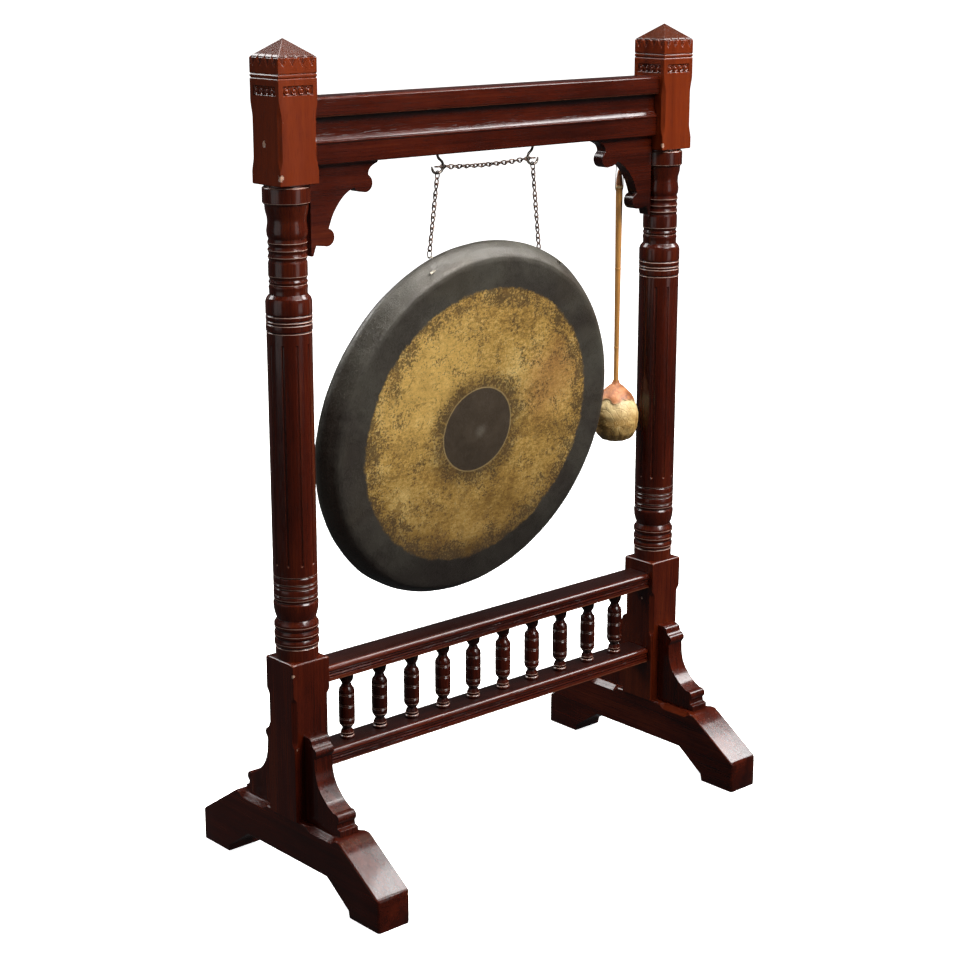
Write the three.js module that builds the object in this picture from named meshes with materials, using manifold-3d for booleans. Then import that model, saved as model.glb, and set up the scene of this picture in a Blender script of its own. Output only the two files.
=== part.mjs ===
// Floor-standing tam tam gong in a turned mahogany stand, with its mallet.
// Millimetres, +Z up, floor at Z = 0. X runs along the stand's width and -Y is the front.
import * as THREE from "three";
import { mergeVertices } from "three/addons/utils/BufferGeometryUtils.js";
import Module from "manifold-3d";

const wasm = await Module();
wasm.setup();

// ---- stand ----
const postSpacing = 1000;
const postX = postSpacing / 2;
const gap = 0.3;
const blockHalf = 44;
const footTop = 147.5;
const lowerBlockTop = 474;
const topBlockBottom = 1391;
const eaveZ = 1620;
const apexZ = 1653;
const footHalfWidth = 39;
const footHalfLength = 291;
const footTenonHalf = 22;
const footTenonDepth = 70;
const beamTop = 1546;
const beamBottom = 1422;
const beamTenon = { length: 30, halfY: 12, low: 1446, high: 1522 };
const railTenon = { length: 28, halfY: 14, halfZ: 8 };
const railHeight = 33.4;
const railHalfDepth = 35.5;
const upperRailTop = 448;
const lowerRailTop = 271.6;
const balusterCount = 10;
const balusterPitch = 84.6;
const spigot = { radius: 6, length: 10 };
const cornerBracketThickness = 27;
const scrollBracketThickness = 44;

// ---- gong ----
const gongTilt = THREE.MathUtils.degToRad(9.5);
const gongCentre = new THREE.Vector3(-33, -7.74, 861.5);
const gongDepth = 54;
const sheet = 2.5;

// ---- chains and hooks ----
const hookWire = 2.7;
const hookBowlDrop = 38.5;
const hooks = { left: { x: -134.5, side: 1 }, right: { x: 120.5, side: -1 } };
const chainWire = 1.3;
const ringHalfWidth = 5.8;
const ringHalfLength = 8;
const chainRadius = 3.2;
const chainEnds = { left: { x: -156, z: 1221.5 }, right: { x: 140, z: 1197 } };
const crossChainZ = beamBottom - 26;
const rimWire = 1.0;
const rimHoleRadius = 2.4;
const rimHoles = { left: { angle: 114.6, depth: 17 }, right: { angle: 59.5, depth: 20 } };

// ---- mallet ----
const malletX = 401;
const malletY = 28;
const cordRadius = 0.9;
const cordTopZ = 1382.5;
const cordHoleZ = 1306;
const handleEndTop = 1350;
const headBottom = 755;

const colours = {
  mahogany: [0x5a1f12, 0.32, 0],
  darkMahogany: [0x47180f, 0.34, 0],
  bronze: [0x6b5a32, 0.5, 0.75],
  iron: [0x3b3632, 0.5, 0.85],
  chain: [0x7a5646, 0.48, 0.8],
  brass: [0xb08a45, 0.38, 0.9],
  cane: [0xc98a45, 0.5, 0],
  cord: [0x2c241e, 0.9, 0],
  hide: [0xb08a4c, 0.75, 0],
  leather: [0xa8602c, 0.6, 0],
};

function material(name) {
  const [color, roughness, metalness] = colours[name];
  return new THREE.MeshStandardMaterial({ color, roughness, metalness });
}

// ---- solids ----
function toSolid(geometry) {
  const bare = geometry.clone();
  bare.deleteAttribute("normal");
  bare.deleteAttribute("uv");
  const welded = mergeVertices(bare, 1e-4);
  const positions = Float32Array.from(welded.attributes.position.array);
  const corner = (i) => new THREE.Vector3().fromArray(positions, 3 * i);
  const kept = [];
  let volume = 0;
  for (let i = 0; i < welded.index.count; i += 3) {
    const [a, b, c] = [0, 1, 2].map((k) => welded.index.getX(i + k));
    if (a === b || b === c || c === a) continue;
    kept.push(a, b, c);
    volume += corner(a).dot(corner(b).cross(corner(c)));
  }
  if (volume < 0) kept.reverse();
  const mesh = new wasm.Mesh({ numProp: 3, vertProperties: positions, triVerts: Uint32Array.from(kept) });
  return new wasm.Manifold(mesh);
}

function toMesh(name, solid, materialName) {
  const data = solid.getMesh();
  const geometry = new THREE.BufferGeometry();
  geometry.setAttribute("position", new THREE.BufferAttribute(Float32Array.from(data.vertProperties), 3));
  geometry.setIndex(new THREE.BufferAttribute(Uint32Array.from(data.triVerts), 1));
  geometry.computeVertexNormals();
  const mesh = new THREE.Mesh(geometry, material(materialName));
  mesh.name = name;
  return mesh;
}

// Box between two opposite corners.
function boxSolid(low, high) {
  const size = high.map((v, i) => v - low[i]);
  const geometry = new THREE.BoxGeometry(...size);
  geometry.translate(...low.map((v, i) => v + size[i] / 2));
  return toSolid(geometry);
}

// Profile of [radius, z] pairs spun about Z.
function turnedGeometry(profile, segments) {
  const points = profile.map(([r, z]) => new THREE.Vector2(r, z));
  return new THREE.LatheGeometry(points, segments).rotateX(Math.PI / 2);
}

function turnedSolid(profile, segments, x = 0, y = 0) {
  return toSolid(turnedGeometry(profile, segments).translate(x, y, 0));
}

// Profile of [half width, z] pairs carried round a square.
function squareSolid(profile, x = 0, y = 0) {
  const cornerProfile = profile.map(([h, z]) => [h * Math.SQRT2, z]);
  return toSolid(turnedGeometry(cornerProfile, 4).rotateZ(Math.PI / 4).translate(x, y, 0));
}

function outline(points) {
  return new THREE.Shape(points.map(([u, v]) => new THREE.Vector2(u, v)));
}

// Outline in (Y, Z) carried along X between two stations.
function alongX(shape, x0, x1, curveSegments = 6) {
  const geometry = new THREE.ExtrudeGeometry(shape, { depth: x1 - x0, bevelEnabled: false, curveSegments });
  geometry.applyMatrix4(new THREE.Matrix4().set(0, 0, 1, x0, 1, 0, 0, 0, 0, 1, 0, 0, 0, 0, 0, 1));
  return toSolid(geometry);
}

// Outline in (X, Z) carried along Y between two stations.
function alongY(shape, y0, y1, curveSegments = 6) {
  const geometry = new THREE.ExtrudeGeometry(shape, { depth: y1 - y0, bevelEnabled: false, curveSegments });
  geometry.rotateX(Math.PI / 2).translate(0, y1, 0);
  return toSolid(geometry);
}

// Round bar of the given radius that follows a curve.
function barAlong(curve, radius, sides, steps) {
  const section = new THREE.Shape();
  section.absarc(0, 0, radius, 0, 2 * Math.PI);
  const settings = { steps, bevelEnabled: false, extrudePath: curve, curveSegments: Math.ceil(sides / 2) };
  return toSolid(new THREE.ExtrudeGeometry(section, settings));
}

function smoothCurve(points, tension = 0.5) {
  const nodes = points.map((p) => new THREE.Vector3(...p));
  return new THREE.CatmullRomCurve3(nodes, false, "catmullrom", tension);
}

// Closed round bar: two overlapping halves of one closed curve, joined.
function closedBar(points, radius, sides, steps) {
  const loop = new THREE.CatmullRomCurve3(points.map((p) => new THREE.Vector3(...p)), true);
  const half = (from, to) => {
    const stations = Array.from({ length: steps + 1 }, (_, i) => from + ((to - from) * i) / steps);
    return smoothCurve(stations.map((t) => loop.getPoint(t - Math.floor(t)).toArray()));
  };
  const first = barAlong(half(-0.02, 0.52), radius, sides, steps);
  const second = barAlong(half(0.48, 1.02), radius, sides, steps);
  return first.add(second);
}

// Oval wire ring. The long and short directions are unit vectors.
function ovalRing(centre, long, short, halfLength, halfWidth, radius) {
  const points = Array.from({ length: 10 }, (_, i) => {
    const angle = (2 * Math.PI * i) / 10;
    return [0, 1, 2].map(
      (k) => centre[k] + long[k] * halfLength * Math.cos(angle) + short[k] * halfWidth * Math.sin(angle)
    );
  });
  return closedBar(points, radius, 6, 5);
}

// ---- posts and feet ----
// Turned part of a post as [radius, z], from the lower block up to the top block.
const columnProfile = [
  [0, 468], [41.9, 468], [40.8, 498], [43.6, 507], [40.5, 515.5], [43.6, 524], [40.5, 533],
  [43.6, 542], [38, 554], [43.2, 573], [44, 580], [44, 588], [41, 591.5], [43.2, 597], [43.2, 1118],
  [44, 1120], [44, 1174], [36, 1188], [37, 1202], [35, 1207], [37, 1211.5], [34.5, 1216], [37, 1222],
  [37, 1247], [34.8, 1251.5], [37.4, 1257.5], [34.8, 1264], [37.4, 1270.5], [34.8, 1277], [37.4, 1284],
  [35.2, 1291], [38.6, 1306], [36.4, 1321], [37, 1331], [41, 1354], [44.8, 1358], [44.8, 1385],
  [41, 1388], [41, 1396], [0, 1396],
];

// Top block with two incised lines and a low pyramid cap.
const topBlockProfile = [
  [0, topBlockBottom], [blockHalf, topBlockBottom], [blockHalf, 1582], [blockHalf - 1.6, 1583.6],
  [blockHalf, 1585.2], [blockHalf, 1589], [blockHalf - 1.6, 1590.6], [blockHalf, 1592.2],
  [blockHalf, eaveZ], [0, apexZ],
];

// Cutters that take flat stopped chamfers off the four corners of a square block.
function stopChamfers(x, low, high, ramp, size) {
  const corner = blockHalf * Math.SQRT2;
  const flat = corner - size / Math.SQRT2;
  const shape = outline([[corner + 1, low - ramp - 2], [corner + 1, high + ramp + 2], [flat, high], [flat, low]]);
  return [0, 1, 2, 3].map((quarter) => {
    const turn = Math.PI / 4 + (quarter * Math.PI) / 2;
    return alongY(shape, -20, 20).rotate([0, 0, THREE.MathUtils.radToDeg(turn)]).translate([x, 0, 0]);
  });
}

// Shallow sunk panel on each face of the top block.
function sunkPanels(x) {
  const [half, low, high, deep] = [33, 1552, 1570, 2.4];
  return [
    boxSolid([x - half, -blockHalf - 1, low], [x + half, -blockHalf + deep, high]),
    boxSolid([x - half, blockHalf - deep, low], [x + half, blockHalf + 1, high]),
    boxSolid([x - blockHalf - 1, -half, low], [x - blockHalf + deep, half, high]),
    boxSolid([x + blockHalf - deep, -half, low], [x + blockHalf + 1, half, high]),
  ];
}

function makePost(name, x) {
  const inward = x < 0 ? 1 : -1;
  const face = x + inward * blockHalf;
  let post = squareSolid(topBlockProfile, x).add(turnedSolid(columnProfile, 16, x));
  const lowerBlock = [[0, footTop + gap], [blockHalf, footTop + gap], [blockHalf, 471], [42.4, lowerBlockTop], [0, lowerBlockTop]];
  post = post.add(squareSolid(lowerBlock, x));
  const h = footTenonHalf;
  post = post.add(boxSolid([x - h, -h, footTop - footTenonDepth], [x + h, h, footTop + 4]));
  for (const cutter of stopChamfers(x, 1436, 1528, 14, 13)) post = post.subtract(cutter);
  for (const cutter of stopChamfers(x, 312, 396, 12, 10)) post = post.subtract(cutter);
  for (const cutter of sunkPanels(x)) post = post.subtract(cutter);
  const span = (depth) => [face - inward * depth, face + inward * 2].sort((a, b) => a - b);
  const t = beamTenon;
  const [b0, b1] = span(t.length + gap);
  post = post.subtract(boxSolid([b0, -t.halfY - gap, t.low - gap], [b1, t.halfY + gap, t.high + gap]));
  const [r0, r1] = span(railTenon.length + gap);
  for (const top of [upperRailTop, lowerRailTop]) {
    const middle = top - railHeight / 2;
    const low = [r0, -railTenon.halfY - gap, middle - railTenon.halfZ - gap];
    const high = [r1, railTenon.halfY + gap, middle + railTenon.halfZ + gap];
    post = post.subtract(boxSolid(low, high));
  }
  return toMesh(name, post, "mahogany");
}

// Side outline of a foot: flat top, sloped ends, two pads and a raised underside.
function makeFoot(name, x) {
  const half = [
    [footHalfLength, 66.9], [footHalfLength, 0], [202, 0], [199, 14.5], [131, 62],
  ];
  const mirrored = half.map(([y, z]) => [-y, z]).reverse();
  const shape = outline([[-170.4, footTop], [170.4, footTop], ...half, ...mirrored]);
  let foot = alongX(shape, x - footHalfWidth, x + footHalfWidth);
  const h = footTenonHalf + gap;
  foot = foot.subtract(boxSolid([x - h, -h, footTop - footTenonDepth - gap], [x + h, h, footTop + 5]));
  for (const side of [-1, 1]) {
    for (const end of [-1, 1]) foot = foot.subtract(footChamfer(x, side, end));
  }
  return toMesh(name, foot, "darkMahogany");
}

// Stopped chamfer on a top edge of the foot, between the bracket and the slope.
function footChamfer(x, side, end) {
  const [near, far, size] = [72, 158, 9];
  const shape = outline([[near - 8, 2], [near + 6, -size], [far - 4, -size], [far + 8, 2]]);
  const geometry = new THREE.ExtrudeGeometry(shape, { depth: 30, bevelEnabled: false });
  geometry.rotateX(Math.PI / 2).translate(0, 15, 0).rotateX(-Math.PI / 4);
  geometry.rotateZ((end * Math.PI) / 2);
  const cutter = geometry;
  if (side * end > 0) cutter.scale(-1, 1, 1);
  return toSolid(cutter.translate(x + side * footHalfWidth, 0, footTop));
}

// ---- brackets ----
// Scroll bracket in (outward, Z): plinth and roll on the foot, long hollow, small roll at the top.
function scrollShape() {
  const shape = new THREE.Shape();
  shape.moveTo(0, footTop + gap);
  shape.lineTo(112, footTop + gap);
  shape.lineTo(112, 160);
  shape.lineTo(103, 163);
  shape.lineTo(101.5, 170.5);
  shape.absarc(96, 181, 11, -Math.PI / 3, 0.62 * Math.PI, false);
  shape.splineThru([
    new THREE.Vector2(67, 206), new THREE.Vector2(46, 228), new THREE.Vector2(35.5, 254),
    new THREE.Vector2(33, 285),
  ]);
  shape.absarc(29, 297, 10.5, -0.3 * Math.PI, 0.42 * Math.PI, false);
  shape.lineTo(27, 312);
  shape.absarc(14, 312.5, 12.5, 0, Math.PI / 2, false);
  shape.lineTo(0, 325);
  return shape;
}

function makeScrollBracket(name, x, end) {
  const t = scrollBracketThickness / 2;
  const bracket = alongX(scrollShape(), -t, t, 5);
  const placed = end < 0 ? bracket.mirror([0, 1, 0]) : bracket;
  return toMesh(name, placed.translate([x, end * (blockHalf + gap), 0]), "darkMahogany");
}

// Corner bracket in (inward, Z): end under the beam, two rolls joined by a long hollow, tail on the post.
function cornerShape() {
  const shape = new THREE.Shape();
  shape.moveTo(0, beamBottom - gap);
  shape.lineTo(163, beamBottom - gap);
  shape.lineTo(160, 1417);
  shape.splineThru([new THREE.Vector2(144, 1409), new THREE.Vector2(138, 1396)]);
  shape.absarc(131, 1379.5, 17, 0.3 * Math.PI, -0.62 * Math.PI, true);
  shape.splineThru([
    new THREE.Vector2(107, 1368.5), new THREE.Vector2(101, 1372.5), new THREE.Vector2(77, 1358),
    new THREE.Vector2(55, 1331), new THREE.Vector2(42, 1302),
  ]);
  shape.absarc(38, 1285.5, 17, 0.42 * Math.PI, -0.6 * Math.PI, true);
  shape.lineTo(12, 1272);
  shape.lineTo(5, 1253);
  shape.lineTo(0, 1253);
  return shape;
}

function makeCornerBracket(name, side) {
  const t = cornerBracketThickness / 2;
  const reach = postX - 44.8 - gap;
  let bracket = alongY(cornerShape(), -t, t, 5).translate([-reach, 0, 0]);
  if (side > 0) bracket = bracket.mirror([1, 0, 0]);
  if (side > 0) bracket = bracket.subtract(malletHookHole());
  return toMesh(name, bracket, "mahogany");
}

// ---- beam and rails ----
// One half of the beam's moulded section as [depth from the middle, z], top to bottom.
const beamHalf = [
  [28, beamTop], [31, 1543], [31, 1513], [29.5, 1510], [19, 1508], [19, 1482], [20.5, 1473],
  [25, 1466], [28, 1464.5], [28, 1461.5], [26, 1459.5], [26, 1424], [24.5, beamBottom],
];

function symmetricOutline(half) {
  const front = half.map(([y, z]) => [-y, z]);
  return outline([...front, ...[...half].reverse()]);
}

function makeBeam() {
  const face = postX - blockHalf - gap;
  const t = beamTenon;
  const reach = postX - blockHalf + t.length;
  let beam = alongX(symmetricOutline(beamHalf), -face, face);
  beam = beam.add(boxSolid([-reach, -t.halfY, t.low], [reach, t.halfY, t.high]));
  for (const { x } of Object.values(hooks)) {
    const pilotRadius = hookWire + 2 * gap;
    const pilot = [[0, 1419], [pilotRadius, 1419], [pilotRadius, 1448], [0, 1448]];
    beam = beam.subtract(turnedSolid(pilot, 12, x));
  }
  return toMesh("top_beam", beam, "mahogany");
}

// Section of a rail: flat top with a rounded nose and reeds below it.
function railHalf(top) {
  const d = railHalfDepth;
  return [
    [d - 4, top], [d - 1, top - 1.2], [d, top - 4], [d, top - 8], [d - 1, top - 10.5], [d - 3.5, top - 11.5],
    [d - 2, top - 14.5], [d - 3.5, top - 17.5], [d - 2, top - 20.5], [d - 3.5, top - 23.5],
    [d - 2.5, top - 26], [d - 2.5, top - 32], [d - 4, top - railHeight],
  ];
}

function makeRail(name, top, holeSide) {
  const face = postX - blockHalf - gap;
  const reach = postX - blockHalf + railTenon.length;
  const middle = top - railHeight / 2;
  const { halfY, halfZ } = railTenon;
  let rail = alongX(symmetricOutline(railHalf(top)), -face, face);
  rail = rail.add(boxSolid([-reach, -halfY, middle - halfZ], [reach, halfY, middle + halfZ]));
  const surface = holeSide > 0 ? top : top - railHeight;
  const ends = [surface - holeSide * (spigot.length + gap), surface + holeSide * 2].sort((a, b) => a - b);
  const radius = spigot.radius + gap;
  for (const x of balusterStations()) {
    const hole = [[0, ends[0]], [radius, ends[0]], [radius, ends[1]], [0, ends[1]]];
    rail = rail.subtract(turnedSolid(hole, 10, x));
  }
  return toMesh(name, rail, "mahogany");
}

function balusterStations() {
  return Array.from({ length: balusterCount }, (_, i) => (i - (balusterCount - 1) / 2) * balusterPitch);
}

function makeBaluster(index, x) {
  const low = lowerRailTop + gap;
  const high = upperRailTop - railHeight - gap;
  const profile = [
    [0, low - spigot.length], [spigot.radius, low - spigot.length], [spigot.radius, low], [15, low],
    [15, low + 5], [12.2, low + 14], [9, low + 21], [16.2, low + 34], [16.4, high - 44], [9, high - 27],
    [14.5, high - 14], [14.5, high], [spigot.radius, high], [spigot.radius, high + spigot.length],
    [0, high + spigot.length],
  ];
  return toMesh(`baluster_${index}`, turnedSolid(profile, 10, x), "mahogany");
}

// ---- gong ----
// Sheet section as [radius, depth behind the face]: low boss, flat face, rounded shoulder, turned rim.
const gongOuter = [
  [0, -3], [88, 0], [350, 0], [361.5, 7], [372, 20], [379, 33], [380.5, 41], [377, gongDepth],
];

function gongSection() {
  const inner = [...gongOuter].reverse().map(([r, d], i, all) => {
    const [pr, pd] = all[Math.max(i - 1, 0)];
    const [nr, nd] = all[Math.min(i + 1, all.length - 1)];
    const length = Math.hypot(nr - pr, nd - pd);
    const shift = [((nd - pd) / length) * sheet, (-(nr - pr) / length) * sheet];
    if (i === 0) return [r - sheet, d];
    if (r === 0) return [0, d + sheet];
    return [r + shift[0], d + shift[1]];
  });
  return [...gongOuter, ...inner];
}

// Carries a shape built about Z with depth along +Z into the gong's tilted place.
function placeOnGong(solid) {
  const turn = -(90 - THREE.MathUtils.radToDeg(gongTilt));
  return solid.rotate([turn, 0, 0]).translate(gongCentre.toArray());
}

// Point at a radius and angle on the gong, the angle counted from +X and rising anticlockwise.
function gongPoint(radius, angle, depth) {
  const a = THREE.MathUtils.degToRad(angle);
  const up = [0, -Math.sin(gongTilt), Math.cos(gongTilt)];
  const back = [0, Math.cos(gongTilt), Math.sin(gongTilt)];
  const across = radius * Math.cos(a);
  const rise = radius * Math.sin(a);
  return gongCentre.toArray().map((c, k) => c + (k === 0 ? across : 0) + rise * up[k] + depth * back[k]);
}

function makeGong() {
  let gong = placeOnGong(turnedSolid(gongSection(), 56));
  for (const { angle, depth } of Object.values(rimHoles)) {
    const path = smoothCurve([gongPoint(350, angle, depth), gongPoint(372, angle, depth), gongPoint(400, angle, depth)]);
    gong = gong.subtract(barAlong(path, rimHoleRadius, 10, 2));
  }
  return toMesh("gong", gong, "bronze");
}

// Wire through a rim hole: knot outside, stem inside, eye that hangs in the chain's last ring.
function makeRimWire(name, side) {
  const { angle, depth } = rimHoles[side];
  const { x, z } = chainEnds[side];
  const eyeRadius = 4;
  const eye = ovalRing([x, -eyeRadius, z], [1, 0, 0], [0, 1, 0], eyeRadius, eyeRadius, rimWire);
  const drop = [x, -2 * eyeRadius + 0.2, z];
  const stem = smoothCurve([
    gongPoint(381, angle, depth), gongPoint(372, angle, depth), gongPoint(364, angle, depth + 3),
    drop.map((v, k) => v * 0.5 + gongPoint(361, angle, depth + 10)[k] * 0.5), drop,
  ]);
  const knot = new THREE.SphereGeometry(1, 8, 5).scale(5.5, 3.6, 2.2);
  const outwards = new THREE.Vector3(...gongPoint(1, angle, 0)).sub(gongCentre).normalize();
  knot.applyQuaternion(new THREE.Quaternion().setFromUnitVectors(new THREE.Vector3(0, 0, 1), outwards));
  const seat = gongPoint(382.2, angle, depth);
  const wire = eye.add(barAlong(stem, rimWire, 6, 8)).add(toSolid(knot.translate(...seat)));
  return toMesh(name, wire, "iron");
}

// ---- hooks and chains ----
function makeHook(name, { x, side }) {
  const offsets = [
    [0, 25], [0, 12], [0, 0], [3, -9], [12, -17], [15, -26], [10.5, -35], [0, -hookBowlDrop], [-10, -35], [-14.5, -25],
  ];
  const curve = smoothCurve(offsets.map(([u, v]) => [x + side * u, 0, beamBottom + v]));
  return toMesh(name, barAlong(curve, hookWire, 8, 20), "iron");
}

// Hanging chain: a ring on the hook, the run of links, and a ring for the wire eye on the rim.
function makeDropChain(name, side) {
  const hook = hooks[side];
  const end = chainEnds[side];
  const hookTop = beamBottom - hookBowlDrop + hookWire;
  const topRing = [hook.x, 0, hookTop + 2 * gap + chainWire - ringHalfLength];
  const lowRing = [end.x, 0, end.z - rimWire - gap - chainWire + ringHalfLength];
  const ring = (centre) => ovalRing(centre, [0, 0, 1], [0, 1, 0], ringHalfLength, ringHalfWidth, chainWire);
  const run = smoothCurve([
    [topRing[0], 0, topRing[2] - ringHalfLength + 1], [(topRing[0] + lowRing[0]) / 2, 0, (topRing[2] + lowRing[2]) / 2],
    [lowRing[0], 0, lowRing[2] + ringHalfLength - 1],
  ]);
  return toMesh(name, ring(topRing).add(barAlong(run, chainRadius, 6, 2)).add(ring(lowRing)), "chain");
}

// Slack chain between the hooks, ringed round the outer bend of each hook.
function makeCrossChain() {
  const bend = 15;
  const overlap = hookWire + 2 * gap + chainWire;
  const leftX = hooks.left.x + bend - overlap + ringHalfLength;
  const rightX = hooks.right.x - bend + overlap - ringHalfLength;
  const ring = (x) => ovalRing([x, 0, crossChainZ], [1, 0, 0], [0, 1, 0], ringHalfLength, ringHalfWidth, chainWire);
  const start = leftX + ringHalfLength - 1;
  const finish = rightX - ringHalfLength + 1;
  const sag = 5;
  const run = smoothCurve(
    [0, 0.25, 0.5, 0.75, 1].map((t) => [start + (finish - start) * t, 0, crossChainZ - 4 * sag * t * (1 - t)])
  );
  return toMesh("cross_chain", ring(leftX).add(barAlong(run, chainRadius, 6, 6)).add(ring(rightX)), "chain");
}

// ---- mallet ----
const malletHookZ = 1394;

function malletHookHole() {
  const path = smoothCurve([[malletX, 0, malletHookZ], [malletX, 8, malletHookZ], [malletX, 20, malletHookZ]]);
  return barAlong(path, 1.5 + gap, 8, 2);
}

function makeMalletHook() {
  const path = [
    [1, malletHookZ], [17, malletHookZ], [21.5, 1391], [22.5, 1384], [28, 1378], [33.5, 1384], [34, 1391],
  ];
  return toMesh("mallet_hook", barAlong(smoothCurve(path.map(([y, z]) => [malletX, y, z])), 1.5, 8, 14), "brass");
}

function makeMalletCord() {
  const half = [
    [0, cordTopZ], [3, cordTopZ - 0.4], [7, 1374], [10, 1355], [11.5, 1330], [11.8, 1314], [10.8, 1307.5], [8.4, cordHoleZ], [3, cordHoleZ],
  ];
  const right = half.map(([u, z]) => [malletX + u, malletY, z]);
  const left = half.slice(1).map(([u, z]) => [malletX - u, malletY, z]).reverse();
  return toMesh("mallet_cord", closedBar([...right, ...left], cordRadius, 6, 18), "cord");
}

function makeHandle() {
  const profile = [
    [0, 790], [5.4, 790], [5.4, 960], [6.4, 1150], [7.5, 1290], [7.5, 1309], [8.4, 1311.5], [8.4, 1315],
    [7.6, 1316.5], [3, 1316.5], [3, 1344], [0, 1344],
  ];
  const hole = smoothCurve([[malletX - 12, malletY, cordHoleZ], [malletX, malletY, cordHoleZ], [malletX + 12, malletY, cordHoleZ]]);
  const handle = turnedSolid(profile, 12, malletX, malletY).subtract(barAlong(hole, 2, 8, 2));
  return toMesh("mallet_handle", handle, "cane");
}

function makeHandleEnd() {
  const profile = [
    [3 + gap, 1316.8], [7.4, 1316.8], [6.8, 1328], [5.2, 1340], [4, 1348], [2.5, handleEndTop], [0, handleEndTop],
    [0, 1344.5], [3 + gap, 1344.5], [3 + gap, 1316.8],
  ];
  return toMesh("handle_end", turnedSolid(profile, 12, malletX, malletY), "leather");
}

function makeHead() {
  const bore = 5.4 + gap;
  const profile = [
    [0, 789.5], [bore, 789.5], [bore, 876], [14, 876], [35, 856], [46, 838], [51, 818],
    [50, 796], [44, 775], [31, 760], [14, headBottom], [0, headBottom],
  ];
  return toMesh("mallet_head", turnedSolid(profile, 16, malletX, malletY), "hide");
}

// Leather collar laced over the shoulder of the head, round the handle.
function makeHeadCap() {
  const bore = 5.4 + gap;
  const profile = [
    [bore, 876.4], [14.3, 876.4], [35.5, 856.5], [37.4, 858], [25, 871], [10, 881.5], [8, 889], [bore, 889],
    [bore, 876.4],
  ];
  return toMesh("head_cap", turnedSolid(profile, 16, malletX, malletY), "leather");
}

// ---- assembly ----
const group = new THREE.Group();
group.name = "tam_tam_gong";
group.add(makePost("post_left", -postX), makePost("post_right", postX));
group.add(makeFoot("foot_left", -postX), makeFoot("foot_right", postX));
for (const [side, x] of [["left", -postX], ["right", postX]]) {
  group.add(makeScrollBracket(`scroll_bracket_${side}_front`, x, -1));
  group.add(makeScrollBracket(`scroll_bracket_${side}_rear`, x, 1));
}
group.add(makeBeam());
group.add(makeCornerBracket("corner_bracket_left", -1), makeCornerBracket("corner_bracket_right", 1));
group.add(makeRail("upper_rail", upperRailTop, -1), makeRail("lower_rail", lowerRailTop, 1));
balusterStations().forEach((x, i) => group.add(makeBaluster(i + 1, x)));
group.add(makeHook("hook_left", hooks.left), makeHook("hook_right", hooks.right));
group.add(makeCrossChain());
group.add(makeDropChain("chain_left", "left"), makeDropChain("chain_right", "right"));
group.add(makeGong());
group.add(makeRimWire("rim_wire_left", "left"), makeRimWire("rim_wire_right", "right"));
group.add(makeMalletHook(), makeMalletCord(), makeHandle(), makeHandleEnd(), makeHead(), makeHeadCap());

export default group;
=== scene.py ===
import math
import bpy
import numpy as np
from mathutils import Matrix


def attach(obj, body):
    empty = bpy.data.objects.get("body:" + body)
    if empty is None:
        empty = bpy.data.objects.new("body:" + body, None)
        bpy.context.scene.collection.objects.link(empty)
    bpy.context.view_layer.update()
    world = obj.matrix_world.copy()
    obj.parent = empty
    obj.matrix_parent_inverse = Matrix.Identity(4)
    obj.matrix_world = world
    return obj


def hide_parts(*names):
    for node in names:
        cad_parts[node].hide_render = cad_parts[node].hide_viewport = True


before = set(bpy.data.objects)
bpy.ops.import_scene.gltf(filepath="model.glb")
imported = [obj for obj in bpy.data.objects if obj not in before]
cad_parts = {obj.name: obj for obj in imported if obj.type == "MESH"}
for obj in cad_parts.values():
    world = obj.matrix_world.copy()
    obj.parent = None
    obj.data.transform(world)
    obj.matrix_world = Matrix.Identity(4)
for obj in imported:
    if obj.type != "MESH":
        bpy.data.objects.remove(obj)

scene = bpy.context.scene
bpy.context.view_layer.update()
mm = 0.001  # shapes are worked out in millimetres, meshes are in metres


# Camera
camera = {"place": (-2.7248, -3.0389, 1.8237), "turn": (75.13, 0, -41.64), "lens": 76.27}


def makeCamera():
    lensData = bpy.data.cameras.new("studioCamera")
    lensData.lens = camera["lens"]
    lensData.sensor_width = 36
    lensData.clip_end = 200
    obj = bpy.data.objects.new("studioCamera", lensData)
    obj.location = camera["place"]
    obj.rotation_euler = [math.radians(v) for v in camera["turn"]]
    scene.collection.objects.link(obj)
    scene.camera = obj


makeCamera()
print("camera placed")


# Surface maths

# Quads of a grid: (i, j) joins rows i and i+1 with columns j and j+1, and a wrapped grid joins last to first.
def gridFaces(rows, cols, wrapRows=False):
    i = np.arange(rows if wrapRows else rows - 1)[:, None]
    j = np.arange(cols)[None, :]
    below, above = i * cols, ((i + 1) % rows) * cols
    right = (j + 1) % cols
    return np.stack([below + j, below + right, above + right, above + j], -1).reshape(-1, 4)


# A shell is its points, faces and a wear-and-highlight number per point: above 0 rubbed bright, far above 1 a
# painted highlight line, below 0 dark with old polish.
def shell(grid, wearAndHighlight=None, wrapRows=False):
    rows, cols = grid.shape[:2]
    faces = gridFaces(rows, cols, wrapRows).tolist()
    if not wrapRows:
        faces.append(list(range(cols))[::-1])
        faces.append(list(range((rows - 1) * cols, rows * cols)))
    rubAndHighlight = np.zeros((rows, cols)) if wearAndHighlight is None else np.broadcast_to(wearAndHighlight, (rows, cols))
    return grid.reshape(-1, 3), faces, rubAndHighlight.reshape(-1)


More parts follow.
